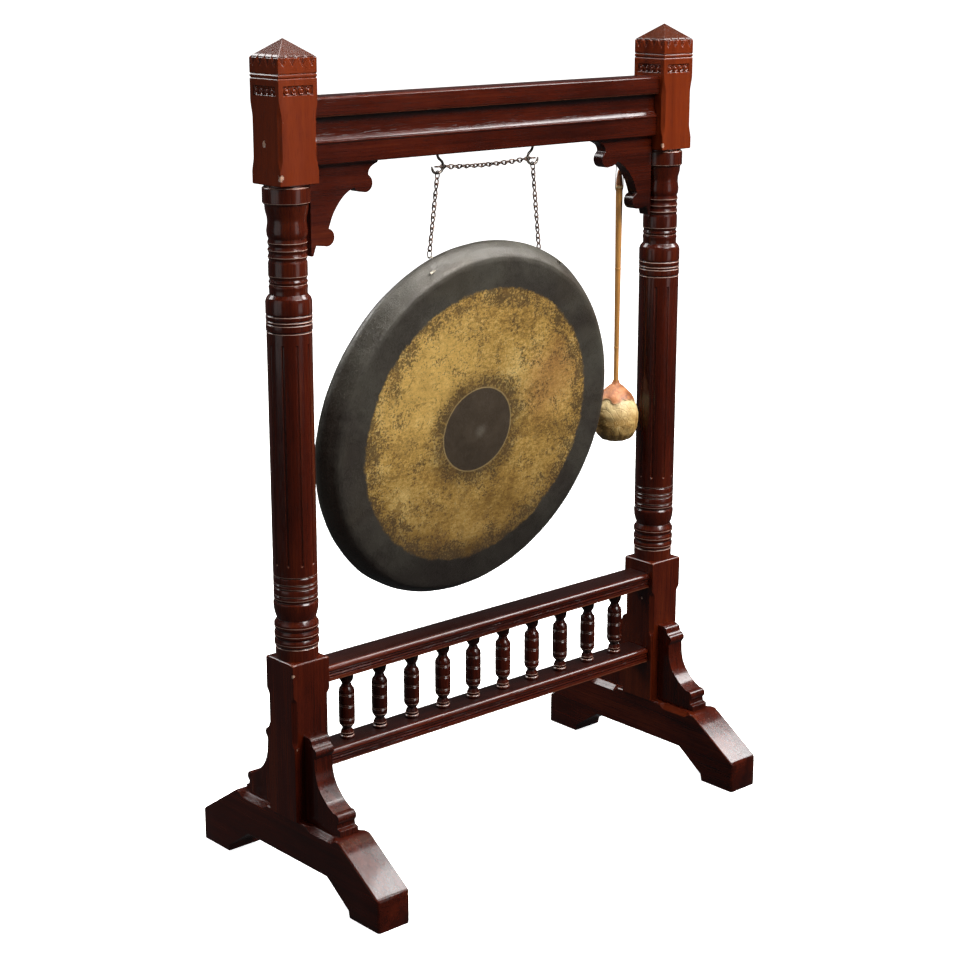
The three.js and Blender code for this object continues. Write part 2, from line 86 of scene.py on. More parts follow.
# Walks a line of points in equal steps, cuts V grooves into its first number where the second passes a height,
# and averages each point with its neighbours under a bell curve.
def softenProfile(points, step=0.5, blur=0.8, grooves=()):
    p = np.asarray(points, float)
    along = np.r_[0, np.cumsum(np.hypot(*np.diff(p, axis=0).T))]
    s = np.linspace(0, along[-1], max(3, int(along[-1] / step) + 1))
    q = np.stack([np.interp(s, along, p[:, k]) for k in (0, 1)], -1)
    for height, width, depth in grooves:
        q[:, 0] -= depth * np.clip(1 - np.abs(q[:, 1] - height) / (width / 2), 0, 1)
    reach = min(max(1, int(3 * blur / step)), len(q) - 2)
    bell = np.exp(-0.5 * (np.arange(-reach, reach + 1) * step / blur) ** 2)
    bell /= bell.sum()
    padded = np.concatenate([2 * q[:1] - q[reach:0:-1], q, 2 * q[-1:] - q[-2:-reach - 2:-1]])
    return np.stack([np.convolve(padded[:, k], bell, "valid") for k in (0, 1)], -1)


# Keeps the points of a line that its turning or its length asks for, and all those close to the given heights.
def thinProfile(q, maxTurn=12, maxStep=60, lines=()):
    step = np.diff(q, axis=0)
    heading = np.unwrap(np.arctan2(step[:, 1], step[:, 0]))
    turn = np.r_[0, np.abs(np.diff(heading)), 0]
    need = np.cumsum(np.degrees(turn) / maxTurn + np.r_[0, np.hypot(*step.T)] / maxStep)
    keep = np.r_[True, np.diff(np.floor(need)) > 0]
    keep[-1] = True
    for height in lines:
        keep |= np.abs(q[:, 1] - height) < 1.4
    return q[keep]


# Wear of a turned profile: how far each radius stands out from the average of its neighbourhood.
def profileWear(q, reach=7.0, full=1.6):
    heights = np.linspace(q[:, 1].min(), q[:, 1].max(), 1500)
    order = np.argsort(q[:, 1])
    radii = np.interp(heights, q[order, 1], q[order, 0])
    count = max(3, int(reach / (heights[1] - heights[0])) | 1)
    mean = np.convolve(np.pad(radii, count // 2, "edge"), np.ones(count) / count, "valid")
    return np.clip((q[:, 0] - np.interp(q[:, 1], heights, mean)) / full, -1, 1)


# Turned surface: at height z and angle a the point is centre + (r cos a, r sin a), r from the profile.
def spin(profile, angles, centre=(0, 0)):
    r, z = np.asarray(profile, float).T
    flat = np.ones(len(angles))
    return np.stack([centre[0] + np.outer(r, np.cos(angles)), centre[1] + np.outer(r, np.sin(angles)),
                     np.outer(z, flat)], -1)


def roundAngles(count):
    return np.linspace(0, 2 * np.pi, count, endpoint=False)


# Catmull-Rom curve: each span blends its four nearest points with cubic weights of the span's parameter.
def smoothPath(points, perSpan=8):
    p = np.asarray(points, float)
    run = np.concatenate([2 * p[:1] - p[1:2], p, 2 * p[-1:] - p[-2:-1]])
    a, b, c, d = (run[k:len(run) - 3 + k, None] for k in range(4))
    t = (np.arange(perSpan) / perSpan)[None, :, None]
    q = 0.5 * (2 * b + (c - a) * t + (2 * a - 5 * b + 4 * c - d) * t**2 + (3 * b - a - 3 * c + d) * t**3)
    return np.concatenate([q.reshape(-1, p.shape[1]), p[-1:]])


def unit(v):
    return v / np.linalg.norm(v, axis=-1, keepdims=True)


# Distance from a path's first point to each of its points.
def runLength(path):
    return np.r_[0, np.cumsum(np.linalg.norm(np.diff(path, axis=0), axis=1))]


# Points of a path at given values of a measure that is known at each of its own points.
def pointsAt(path, measure, values):
    return np.stack([np.interp(values, measure, path[:, k]) for k in range(3)], -1)


# Bar along a path: at each station a circle is drawn square to the path, from the side direction crossed with
# the tangent towards the side direction. The radius may change along the path and round the circle.
def bar(path, radius, sides, side, closed=False, wearAndHighlight=None):
    p = np.asarray(path, float)
    tangent = unit(np.roll(p, -1, 0) - np.roll(p, 1, 0) if closed else np.gradient(p, axis=0))
    ref = np.broadcast_to(np.asarray(side, float), p.shape)
    b = unit(ref - (ref * tangent).sum(-1, keepdims=True) * tangent)
    n = np.cross(b, tangent)
    a = roundAngles(sides)
    r = np.broadcast_to(np.asarray(radius, float), (len(p), sides)) if np.ndim(radius) != 1 \
        else np.repeat(np.asarray(radius, float)[:, None], sides, 1)
    around = np.cos(a)[None, :, None] * n[:, None] + np.sin(a)[None, :, None] * b[:, None]
    return shell(p[:, None] + r[..., None] * around, wearAndHighlight, wrapRows=closed)


# Uneven field: the mean of a few cosines with seeded directions and phases, each close to one wavelength.
def lumps(points, wavelength, seed, count=14):
    rng = np.random.default_rng(seed)
    k = unit(rng.normal(size=(count, 3))) * 2 * np.pi / (wavelength * rng.uniform(0.7, 1.5, (count, 1)))
    phase = rng.uniform(0, 2 * np.pi, count)
    return np.cos(np.asarray(points) @ k.T + phase).sum(-1) / math.sqrt(count)


def smoothStep(x, low, high):
    t = np.clip((x - low) / (high - low), 0, 1)
    return t * t * (3 - 2 * t)


# Bell curve of height 1 at a middle value.
def hump(x, middle, width):
    return np.exp(-(((x - middle) / width) ** 2))


def makePiece(name, shells, material, body, nodes=(), sharp=38, bevel=0.0, segments=2):
    points, faces, wearAndHighlight, start = [], [], [], 0
    for verts, polys, rubAndHighlight in shells:
        points.append(verts)
        wearAndHighlight.append(rubAndHighlight)
        faces += [[v + start for v in f] for f in polys]
        start += len(verts)
    mesh = bpy.data.meshes.new(name)
    mesh.from_pydata((np.concatenate(points) * mm).tolist(), [], faces)
    mesh.attributes.new("wearAndHighlight", "FLOAT", "POINT").data.foreach_set("value", np.concatenate(wearAndHighlight).astype("f"))
    mesh.shade_smooth()
    if not bevel:
        mesh.set_sharp_from_angle(angle=math.radians(sharp))
    mesh.materials.append(material)
    obj = bpy.data.objects.new(name, mesh)
    scene.collection.objects.link(obj)
    if bevel:
        edge = obj.modifiers.new("arris", "BEVEL")
        edge.width = bevel * mm
        edge.segments = segments
        edge.limit_method = "ANGLE"
        edge.angle_limit = math.radians(34)
        edge.harden_normals = True
    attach(obj, body)
    if nodes:
        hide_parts(*nodes)
    return obj


# Shader maths
class Wire:
    # A node's output that can be added, taken away and multiplied, each time through a Math node.
    def __init__(self, paint, socket):
        self.paint = paint
        self.socket = socket

    def join(self, operation, a, b):
        return self.paint.node("ShaderNodeMath", {"operation": operation}, {0: a, 1: b})

    def __add__(self, other):
        return self.join("ADD", self, other)

    __radd__ = __add__

    def __mul__(self, other):
        return self.join("MULTIPLY", self, other)

    __rmul__ = __mul__

    def __sub__(self, other):
        return self.join("SUBTRACT", self, other)

    def __rsub__(self, other):
        return self.join("SUBTRACT", other, self)


class Paint:
    def __init__(self, name):
        self.material = bpy.data.materials.new(name)
        self.material.use_nodes = True
        self.tree = self.material.node_tree
        self.tree.nodes.clear()
        self.place = self.node("ShaderNodeTexCoord", output="Object")

    # Makes a node: its settings first, then the values or links of its sockets by name or number.
    def node(self, kind, settings=None, sockets=None, output=0):
        made = self.tree.nodes.new(kind)
        for key, value in (settings or {}).items():
            if key == "stops":
                ramp = made.color_ramp.elements
                for k, (at, colour) in enumerate(value):
                    stop = ramp[k] if k < len(ramp) else ramp.new(at)
                    stop.position = at
                    stop.color = (*colour, 1)
            else:
                setattr(made, key, value)
        for key, value in (sockets or {}).items():
            if isinstance(value, Wire):
                self.tree.links.new(value.socket, made.inputs[key])
            else:
                made.inputs[key].default_value = value
        return Wire(self, made.outputs[output])

    def mapped(self, scale=(1, 1, 1), shift=(0, 0, 0), turn=(0, 0, 0), kind="POINT", vector=None):
        return self.node("ShaderNodeMapping", {"vector_type": kind}, {
            "Vector": vector or self.place, "Location": shift,
            "Rotation": [math.radians(v) for v in turn], "Scale": scale})

    def noise(self, scale, detail=3.0, rough=0.55, vector=None, warp=0.0):
        return self.node("ShaderNodeTexNoise", {}, {
            "Vector": vector or self.place, "Scale": scale, "Detail": detail, "Roughness": rough,
            "Distortion": warp})

    def cells(self, scale, vector=None):
        sockets = {"Vector": vector or self.place, "Scale": scale}
        return self.node("ShaderNodeTexVoronoi", {"feature": "SMOOTH_F1"}, sockets)

    # 0 below low, 1 above high, an S curve between; low may be the larger, which turns it round.
    def between(self, value, low, high):
        return self.node("ShaderNodeMapRange", {"interpolation_type": "SMOOTHSTEP"}, {
            "Value": value, "From Min": low, "From Max": high})

    def blend(self, factor, a, b, mode="MIX"):
        def colour(c):
            return c if isinstance(c, Wire) else (*c, 1)
        made = self.tree.nodes.new("ShaderNodeMix")
        made.data_type = "RGBA"
        made.blend_type = mode
        for socket, value in ((made.inputs[0], factor), (made.inputs[6], colour(a)),
                (made.inputs[7], colour(b))):
            if isinstance(value, Wire):
                self.tree.links.new(value.socket, socket)
            else:
                socket.default_value = value
        return Wire(self, made.outputs[2])

    def ramp(self, value, *stops):
        return self.node("ShaderNodeValToRGB", {"stops": stops}, {"Fac": value})

    def axis(self, name, vector=None):
        return self.node("ShaderNodeSeparateXYZ", {}, {0: vector or self.place}, name)

    def length(self, vector, centre=(0, 0, 0)):
        settings = {"operation": "DISTANCE"}
        return self.node("ShaderNodeVectorMath", settings, {0: vector, 1: centre}, "Value")

    def wearAndHighlight(self):
        return self.node("ShaderNodeAttribute", {"attribute_name": "wearAndHighlight"}, output="Fac")

    def bump(self, height, distance, strength=1.0, under=None):
        sockets = {"Height": height, "Distance": distance, "Strength": strength}
        if under:
            sockets["Normal"] = under
        return self.node("ShaderNodeBump", {}, sockets)

    def finish(self, **sockets):
        names = {key.replace("_", " "): value for key, value in sockets.items()}
        shader = self.node("ShaderNodeBsdfPrincipled", {}, names)
        out = self.tree.nodes.new("ShaderNodeOutputMaterial")
        self.tree.links.new(shader.socket, out.inputs["Surface"])
        return self.material


# Wood
woodTones = {
    "deep": (0.015, 0.0018, 0.0007), "middle": (0.056, 0.0064, 0.0018), "light": (0.135, 0.0220, 0.0048),
    "faded": (0.190, 0.0265, 0.0046), "rubbed": (0.24, 0.080, 0.040), "old": (0.006, 0.0013, 0.0009),
    "roughness": 0.20, "coat": 0.26, "specular": 0.28,
}

# Places where the polish is chipped to pale wood: (x, y, z) in metres, then the spot's radius.
chips = [
    ((-0.544, 0.004, 1.466), 0.0052), ((-0.5435, -0.0435, 1.407), 0.0062), ((-0.535, -0.0395, 1.507), 0.0034),
    ((-0.5435, -0.0435, 0.452), 0.0042), ((-0.538, -0.041, 0.300), 0.0040),
        ((0.4575, -0.0435, 1.402), 0.0048),
    ((0.456, -0.012, 0.386), 0.0034), ((-0.462, -0.289, 0.062), 0.0050), ((0.5385, -0.289, 0.060), 0.0052),
    ((0.4610, 0.2895, 0.064), 0.0046), ((-0.5385, 0.2890, 0.058), 0.0048), ((0.5435, 0.0435, 1.612), 0.0050),
]


# Mahogany: streaks, fibres and pores drawn out along the grain's axis (0, 1 or 2). Height decides where
# upright wood is faded and where the cap is dark. The wear-and-highlight attribute decides where it is rubbed,
# where a painted highlight glints and where it holds grime.
def makeWood(name, grain, darker=0.0):
    paint = Paint(name)

    def grained(amount, shift=(0, 0, 0)):
        return paint.mapped(scale=[amount if k == grain else 1.0 for k in range(3)], shift=shift)

    long = grained(0.045)
    streaks = paint.noise(34, 4, 0.6, long, 0.6)
    fibres = paint.noise(330, 3, 0.6, grained(0.02, (0.31, 0.17, 0.43)))
    cloud = paint.noise(3.6, 2, 0.5, grained(0.5))
    pores = paint.between(paint.noise(1500, 1, 0.5, grained(0.02)), 0.60, 0.70)
    mottle = paint.noise(46, 2, 0.5, grained(0.35))
    tone = streaks * 0.55 + cloud * 0.75 + fibres * 0.30 + mottle * 0.16 - 0.36 - darker
    colour = paint.ramp(tone, (0.30, woodTones["deep"]), (0.55, woodTones["middle"]),
            (0.86, woodTones["light"]))
    top = paint.between(paint.axis("Z"), 1.386, 1.394)
    fading = top * (streaks * 1.3 + cloud * 1.1 - 0.56) if grain == 2 else 0.0
    colour = paint.blend(fading, colour, woodTones["faded"])
    cap = paint.between(paint.axis("Z"), 1.618, 1.622)
    colour = paint.blend(cap * 0.78, colour, (0.032, 0.010, 0.0045))
    colour = paint.blend(pores * 0.55, colour, woodTones["old"])
    wearAndHighlight = paint.wearAndHighlight()
    ragged = paint.noise(120, 3, 0.65)
    rubbed = paint.between(wearAndHighlight + ragged * 0.7, 0.85, 1.35) * 0.42
    # Painted highlight: glint paints thin pale lines at turned rings and flute ends, where the per-point number
    # runs far above 1.
    glint = paint.between(wearAndHighlight + ragged * 0.5, 1.75, 2.45)
    grime = paint.between(ragged * 0.5 - wearAndHighlight, 0.42, 1.05) * 0.8
    colour = paint.blend(rubbed, colour, woodTones["rubbed"])
    colour = paint.blend(grime, colour, woodTones["old"])
    colour = paint.blend(glint * 0.72, colour, (0.56, 0.40, 0.33))
    spots = 0.0
    splinter = paint.noise(260, 3, 0.6) - 0.5
    for centre, radius in chips:
        reach = paint.length(paint.place, centre) + splinter * (radius * 2.6)
        spots = paint.between(reach, radius, radius * 0.72) + spots
    colour = paint.blend(paint.node("ShaderNodeMath", {"operation": "MINIMUM"}, {0: spots, 1: 0.9}), colour,
                         (0.60, 0.36, 0.25))
    smears = paint.noise(16, 4, 0.6)
    roughness = woodTones["roughness"] + (smears - 0.5) * 0.22 + grime * 0.18 + rubbed * 0.10 + spots * 0.2
    grainRelief = paint.bump(fibres * 0.5 - pores * 0.8, 0.00012, 0.7)
    ripple = paint.bump(paint.noise(42, 2, 0.5, grained(0.4)), 0.0009, 0.35, grainRelief)
    nicks = paint.bump(spots, -0.0012, 1.0, ripple)
    return paint.finish(Base_Color=colour, Roughness=roughness, Normal=nicks, Coat_Weight=woodTones["coat"],
                        Coat_Roughness=0.06, Specular_IOR_Level=woodTones["specular"])


uprightWood = makeWood("mahoganyUpright", 2)
crossWood = makeWood("mahoganyCross", 0, 0.03)
darkUpright = makeWood("darkMahoganyUpright", 2, 0.10)
darkFoot = makeWood("darkMahoganyFoot", 1, 0.10)
print("wood finishes mixed")


# Metal, cane, hide and cord
bronzeTones = {
    "gold": (0.60, 0.355, 0.085), "paleGold": (0.95, 0.68, 0.25), "brownGold": (0.20, 0.105, 0.026),
    "fleck": (0.040, 0.024, 0.012), "patina": (0.045, 0.036, 0.029), "palePatina": (0.120, 0.112, 0.085),
    "disc": (0.070, 0.050, 0.032), "blush": (0.52, 0.235, 0.080),
    "annulus": 0.295, "discRadius": 0.0905, "discCentre": (-0.002, -0.007, 0),
}


def makeBronze():
    t = bronzeTones
    paint = Paint("bronzePatina")
    face = paint.mapped(shift=(-0.033, -0.00774, 0.8615), turn=(99.5, 0, 0), kind="TEXTURE")
    flatFace = paint.node("ShaderNodeVectorMath", {"operation": "MULTIPLY"}, {0: face, 1: (1, 1, 0)})
    depth = paint.axis("Z", face) * -1.0  # how far behind the face plane
    edgeNoise = (paint.noise(26, 3, 0.6) - 0.5) * 0.016 + (paint.noise(170, 3, 0.7) - 0.5) * 0.013
    ring = paint.length(flatFace) + edgeNoise
    near = paint.length(flatFace, t["discCentre"])
    disc = paint.between(near + (paint.noise(60, 2) - 0.5) * 0.003, t["discRadius"] + 0.0012,
            t["discRadius"] - 0.0012)
    outside = paint.between(depth, 0.012, 0.004) * paint.between(depth, -0.010, -0.006)
    scraped = paint.between(ring, t["annulus"] + 0.0035, t["annulus"] - 0.0035) * (1 - disc) * outside

    # Scraped annulus: broad clouds, short tool strokes and dark flecks where old skin is left.
    clouds = paint.noise(9, 4, 0.6, warp=0.4)
    strokes = paint.noise(150, 4, 0.72, paint.mapped(scale=(1, 1, 0.38), vector=face), 0.8)
    across = paint.noise(190, 3, 0.7, paint.mapped(scale=(0.30, 1, 1), vector=face, turn=(0, 0, 12)), 0.5)
    gold = paint.ramp(clouds * 0.42 + strokes * 0.42 + across * 0.24,
                      (0.43, t["brownGold"]), (0.54, t["gold"]), (0.68, t["paleGold"]))
    blush = paint.between(paint.length(flatFace, (0.19, 0.075, 0)) + (clouds - 0.5) * 0.08, 0.115, 0.03)
    gold = paint.blend(blush * 0.42, gold, t["blush"])
    halo = paint.between(near, 0.150, 0.094)
    rimward = paint.between(ring, 0.225, 0.288)
    crumbs = paint.noise(210, 4, 0.75)
    patches = paint.noise(24, 4, 0.65, warp=0.5)
    flecks = paint.between(crumbs * 0.62 + patches * 0.38 + rimward * 0.075 + halo * 0.085, 0.525, 0.60)
    stains = paint.between(paint.noise(31, 3, 0.7, warp=1.0) + halo * 0.10, 0.55, 0.66)
    # Painted shade: low and lower darken the outer and lower gold towards the bottom of the face.
    low = paint.between(paint.axis("Y", face), -0.10, -0.30) * paint.between(ring, 0.235, 0.29)
    lower = paint.between(paint.axis("Y", face) + (clouds - 0.5) * 0.2, 0.02, -0.30)
    gold = paint.blend(lower * 0.55, gold, t["brownGold"])
    # Painted highlight: the gold is brightened towards the upper left of the face.
    upperLeftHighlight = paint.between(paint.length(flatFace, (-0.15, 0.12, 0)) + (clouds - 0.5) * 0.2, 0.20, 0.04)
    gold = paint.blend(upperLeftHighlight * 0.42, gold, (1.0, 0.64, 0.18))
    gold = paint.blend(flecks * 0.80, gold, t["fleck"])
    gold = paint.blend(stains * 0.55, gold, t["brownGold"])
    gold = paint.blend(halo * 0.42 + low * 0.60, gold, t["fleck"])

    # Untouched skin: grey green with pale rubs, warmer and greener towards the rim.
    skinClouds = paint.noise(7, 5, 0.62, warp=0.5)
    skin = paint.ramp(skinClouds * 0.8 + crumbs * 0.2, (0.40, t["patina"]), (0.78, t["palePatina"]))
    warm = paint.between(paint.noise(5, 3), 0.52, 0.70)
    skin = paint.blend(warm * 0.35, skin, (0.075, 0.060, 0.038))
    band = paint.between(depth, 0.006, 0.020)
    skin = paint.blend(band * 0.40, skin, (0.060, 0.056, 0.044))
    # Painted shade: the skin is darkened towards the bottom of the face.
    lowSkinShade = paint.between(paint.axis("Y", face), -0.08, -0.34)
    skin = paint.blend(lowSkinShade * 0.68, skin, (0.010, 0.007, 0.005))
    scuffs = paint.between(paint.noise(95, 5, 0.75, warp=0.6), 0.62, 0.72)
    skin = paint.blend(scuffs * (0.10 + band * 0.5), skin, (0.26, 0.23, 0.16))
    discColour = paint.blend(paint.between(paint.noise(48, 4, 0.6), 0.42, 0.66) * 0.5, t["disc"],
            (0.095, 0.070, 0.048))
    # Painted highlight: a paler spot near the middle of the central disc.
    centreHighlight = paint.between(paint.length(flatFace, (0.004, -0.010, 0)) + (crumbs - 0.5) * 0.02, 0.019, 0.002)
    discColour = paint.blend(centreHighlight * 0.6, discColour, (0.20, 0.17, 0.13))
    colour = paint.blend(disc * outside, paint.blend(scraped, skin, gold), discColour)
    seam = paint.between(near + (paint.noise(90, 2) - 0.5) * 0.002, t["discRadius"] - 0.0016,
            t["discRadius"]) * \
        paint.between(near, t["discRadius"] + 0.0030, t["discRadius"] + 0.0012) * outside
    colour = paint.blend(seam * 0.7, colour, (0.42, 0.29, 0.12))

    roughness = 0.42 + (crumbs - 0.5) * 0.25 + flecks * scraped * 0.16
    roughness = roughness + (skinClouds - 0.5) * 0.18 - band * 0.05
    metal = 0.34 - flecks * 0.12 - scraped * 0.06
    dents = paint.bump(paint.cells(17, face), 0.0042, 0.55)
    planished = paint.bump(paint.cells(46, face), 0.0012, 0.6, dents)
    scratches = paint.bump(strokes * 0.6 + across * 0.4 - flecks * 0.5, 0.00045, 0.8, planished)
    return paint.finish(Base_Color=colour, Roughness=roughness, Metallic=metal, Normal=scratches)


def makeMetal(name, pale, dark, rust, rustLevel, roughness, metallic):
    paint = Paint(name)
    coat = paint.noise(60, 4, 0.65)
    start = 0.80 - rustLevel * 0.3
    eaten = paint.between(paint.noise(230, 4, 0.7, warp=0.4) + coat * 0.3, start, start + 0.15)
    colour = paint.blend(paint.between(coat, 0.38, 0.64), dark, pale)
    colour = paint.blend(eaten * 0.85, colour, rust)
    relief = paint.bump(eaten * 0.6 + paint.noise(700, 3, 0.6) * 0.4, 0.00018, 0.8)
    return paint.finish(Base_Color=colour, Roughness=roughness + eaten * 0.3 + (coat - 0.5) * 0.2,
                        Metallic=metallic - eaten * 0.5, Normal=relief)


def makeCane():
    paint = Paint("cane")
    long = paint.mapped(scale=(1, 1, 0.03))
    fibres = paint.noise(900, 3, 0.6, long)
    tone = paint.noise(120, 3, 0.6, paint.mapped(scale=(1, 1, 0.08)))
    colour = paint.ramp(tone * 0.6 + fibres * 0.4, (0.30, (0.40, 0.165, 0.040)), (0.55, (0.62, 0.29, 0.075)),
                        (0.80, (0.78, 0.44, 0.150)))
    z = paint.axis("Z")
    ring = paint.between(z, 1.3098, 1.3110) * paint.between(z, 1.3160, 1.3148)
    stain = paint.between(z, 1.215, 1.262) * paint.between(z, 1.309, 1.300)
    sideways = paint.between(paint.axis("X") + paint.axis("Y") * -0.5 + (tone - 0.5) * 0.006, 0.3895, 0.3935)
    colour = paint.blend(stain * sideways * 0.86, colour, (0.055, 0.022, 0.010))
    colour = paint.blend(ring * 0.75, colour, (0.86, 0.66, 0.36))
    dirt = paint.between(paint.noise(70, 4, 0.7) + paint.wearAndHighlight() * -0.4, 0.60, 0.74)
    colour = paint.blend(dirt * 0.4, colour, (0.22, 0.085, 0.025))
    return paint.finish(Base_Color=colour, Roughness=0.36 + (fibres - 0.5) * 0.2, Coat_Weight=0.25,
                        Coat_Roughness=0.2, Normal=paint.bump(fibres, 0.00012, 0.6))


def makeHide():
    paint = Paint("stretchedHide")
    z = paint.axis("Z")
    clouds = paint.noise(38, 5, 0.62, warp=0.8)
    skin = paint.noise(120, 4, 0.7, warp=0.6)
    colour = paint.ramp(clouds * 0.62 + skin * 0.38, (0.30, (0.185, 0.085, 0.026)),
            (0.46, (0.47, 0.265, 0.075)),
                        (0.62, (0.66, 0.44, 0.155)), (0.80, (0.86, 0.71, 0.40)))
    top = paint.between(z + (clouds - 0.5) * 0.05, 0.800, 0.850)
    colour = paint.blend(top * 0.40, colour, (0.83, 0.72, 0.42))
    bottom = paint.between(z + (skin - 0.5) * 0.05, 0.800, 0.762)
    colour = paint.blend(bottom * 0.50, colour, (0.245, 0.150, 0.048))
    creases = paint.between(paint.node("ShaderNodeTexVoronoi", {"feature": "DISTANCE_TO_EDGE"}, {
        "Vector": paint.mapped(scale=(1, 1, 0.7)), "Scale": 74.0, "Randomness": 1.0}), 0.09, 0.0)
    lines = paint.between(paint.noise(75, 5, 0.8, warp=1.6), 0.61, 0.70)
    colour = paint.blend(creases * lines * 0.7 + lines * 0.35, colour, (0.13, 0.055, 0.018))
    relief = paint.bump(clouds * 0.7 - lines * 0.5 - creases * 0.25, 0.0022, 0.8,
            paint.bump(skin, 0.0006, 0.7))
    return paint.finish(Base_Color=colour, Roughness=0.52 + (skin - 0.5) * 0.35, Coat_Weight=0.12,
                        Coat_Roughness=0.35, Normal=relief)


def makeLeather():
    paint = Paint("orangeLeather")
    clouds = paint.noise(55, 5, 0.65, warp=0.5)
    colour = paint.ramp(clouds, (0.30, (0.145, 0.042, 0.014)), (0.52, (0.42, 0.150, 0.048)),
                        (0.78, (0.66, 0.32, 0.130)))
    grain = paint.cells(700)
    worn = paint.between(paint.wearAndHighlight() + clouds * 0.5, 0.75, 1.2)
    colour = paint.blend(worn * 0.45, colour, (0.74, 0.47, 0.25))
    return paint.finish(Base_Color=colour, Roughness=0.50 + (clouds - 0.5) * 0.3,
                        Normal=paint.bump(grain * 0.5 + clouds, 0.0006, 0.6))


def makeCordFibre():
    paint = Paint("twistedCord")
    fuzz = paint.noise(1600, 3, 0.7)
    colour = paint.blend(paint.between(fuzz + paint.wearAndHighlight() * 0.3, 0.35, 0.75), (0.020, 0.012, 0.008),
            (0.150, 0.095, 0.055))
    return paint.finish(Base_Color=colour, Roughness=0.85 + (fuzz - 0.5) * 0.2,
            Normal=paint.bump(fuzz, 0.0002, 0.8))


bronze = makeBronze()
ironMetal = makeMetal("ironHook", (0.30, 0.26, 0.22), (0.075, 0.062, 0.052), (0.125, 0.050, 0.024), 0.15,
        0.36, 0.85)
chainMetal = makeMetal("rustyChain", (0.30, 0.23, 0.19), (0.085, 0.055, 0.045), (0.190, 0.070, 0.034), 0.50,
        0.42, 0.75)
wireMetal = makeMetal("tinnedWire", (0.62, 0.56, 0.46), (0.20, 0.16, 0.12), (0.16, 0.085, 0.04), 0.1, 0.34,
        0.9)
brassMetal = makeMetal("agedBrass", (0.66, 0.47, 0.20), (0.33, 0.20, 0.075), (0.12, 0.065, 0.030), 0.1,
        0.30, 0.95)
cane = makeCane()
hide = makeHide()
leather = makeLeather()
cordFibre = makeCordFibre()
print("metal, cane, hide and cord finishes mixed")


# Mallet cord
malletCord = {"x": 401, "y": 28, "radius": 0.9, "top": 1382.5, "hole": 1306, "strands": 2, "lay": 5.5}


# Twisted cord: a bar whose section has two lobes, turned once for each lay length along the loop.
def makeMalletCord():
    c = malletCord
    half = [(0, c["top"]), (3, c["top"] - 0.4), (7, 1374), (10, 1355), (11.5, 1330), (11.8, 1314),
            (10.8, 1307.5),
            (8.4, c["hole"]), (3, c["hole"])]
    right = [(c["x"] + u, c["y"], z) for u, z in half] + [(c["x"] + 1.3, c["y"], c["hole"])]
    left = [(2 * c["x"] - x, y, z) for x, y, z in right[1:]]
    path = smoothPath(left[::-1] + right, 10)
    along = runLength(path)
    s = np.linspace(0, along[-1], 340)
    path = pointsAt(path, along, s)
    a = roundAngles(12)[None, :] - 2 * np.pi * s[:, None] / c["lay"]
    radius = c["radius"] * (0.80 + 0.20 * np.abs(np.cos(a * c["strands"] / 2)))
    rubAndHighlight = np.abs(np.cos(a * c["strands"] / 2)) * 2 - 1
    piece = makePiece("mallet_cord_loop", [bar(path, radius, 12, (0, 1, 0), wearAndHighlight=rubAndHighlight)], cordFibre,
            "mallet_cord",
                      ["mallet_cord"], sharp=180)
    print("cord length", round(float(along[-1]), 1), "mm")


makeMalletCord()


# Lights and floor
studio = {
    "sun": {"strength": 0.9, "angle": 40, "direction": (0.30, -0.30, 0.90), "colour": (1.0, 0.97, 0.93)},
    "top": {"power": 210, "size": (2.6, 2.2), "place": (0.3, 0.1, 4.6), "look": (0.3, 0.1, 0)},
    "side": {"power": 165, "size": (1.3, 2.2), "place": (3.7, -1.3, 4.3), "look": (0, 0, 0.6)},
    "front": {"power": 350, "size": (2.6, 2.0), "place": (1.3, -3.9, 4.6), "look": (0, 0, 0.9)},
    "low": {"power": 16, "size": (2.0, 1.6), "place": (1.6, -5.2, 0.9), "look": (0, 0, 0.9)},
    "back": {"power": 190, "size": (3.0, 2.0), "place": (-1.7, 4.8, 4.5), "look": (-0.2, 0, 0.9)},
    "left": {"power": 24, "size": (3.0, 3.0), "place": (-4.6, 0.2, 1.6), "look": (-0.5, 0, 0.9)},
    "world": 0.055, "floorGlow": 1.0,
}


def aimed(place, look):
    away = np.asarray(place, float) - np.asarray(look, float)
    away /= np.linalg.norm(away)
    return (math.acos(away[2]), 0, math.atan2(away[1], away[0]) + math.pi / 2)


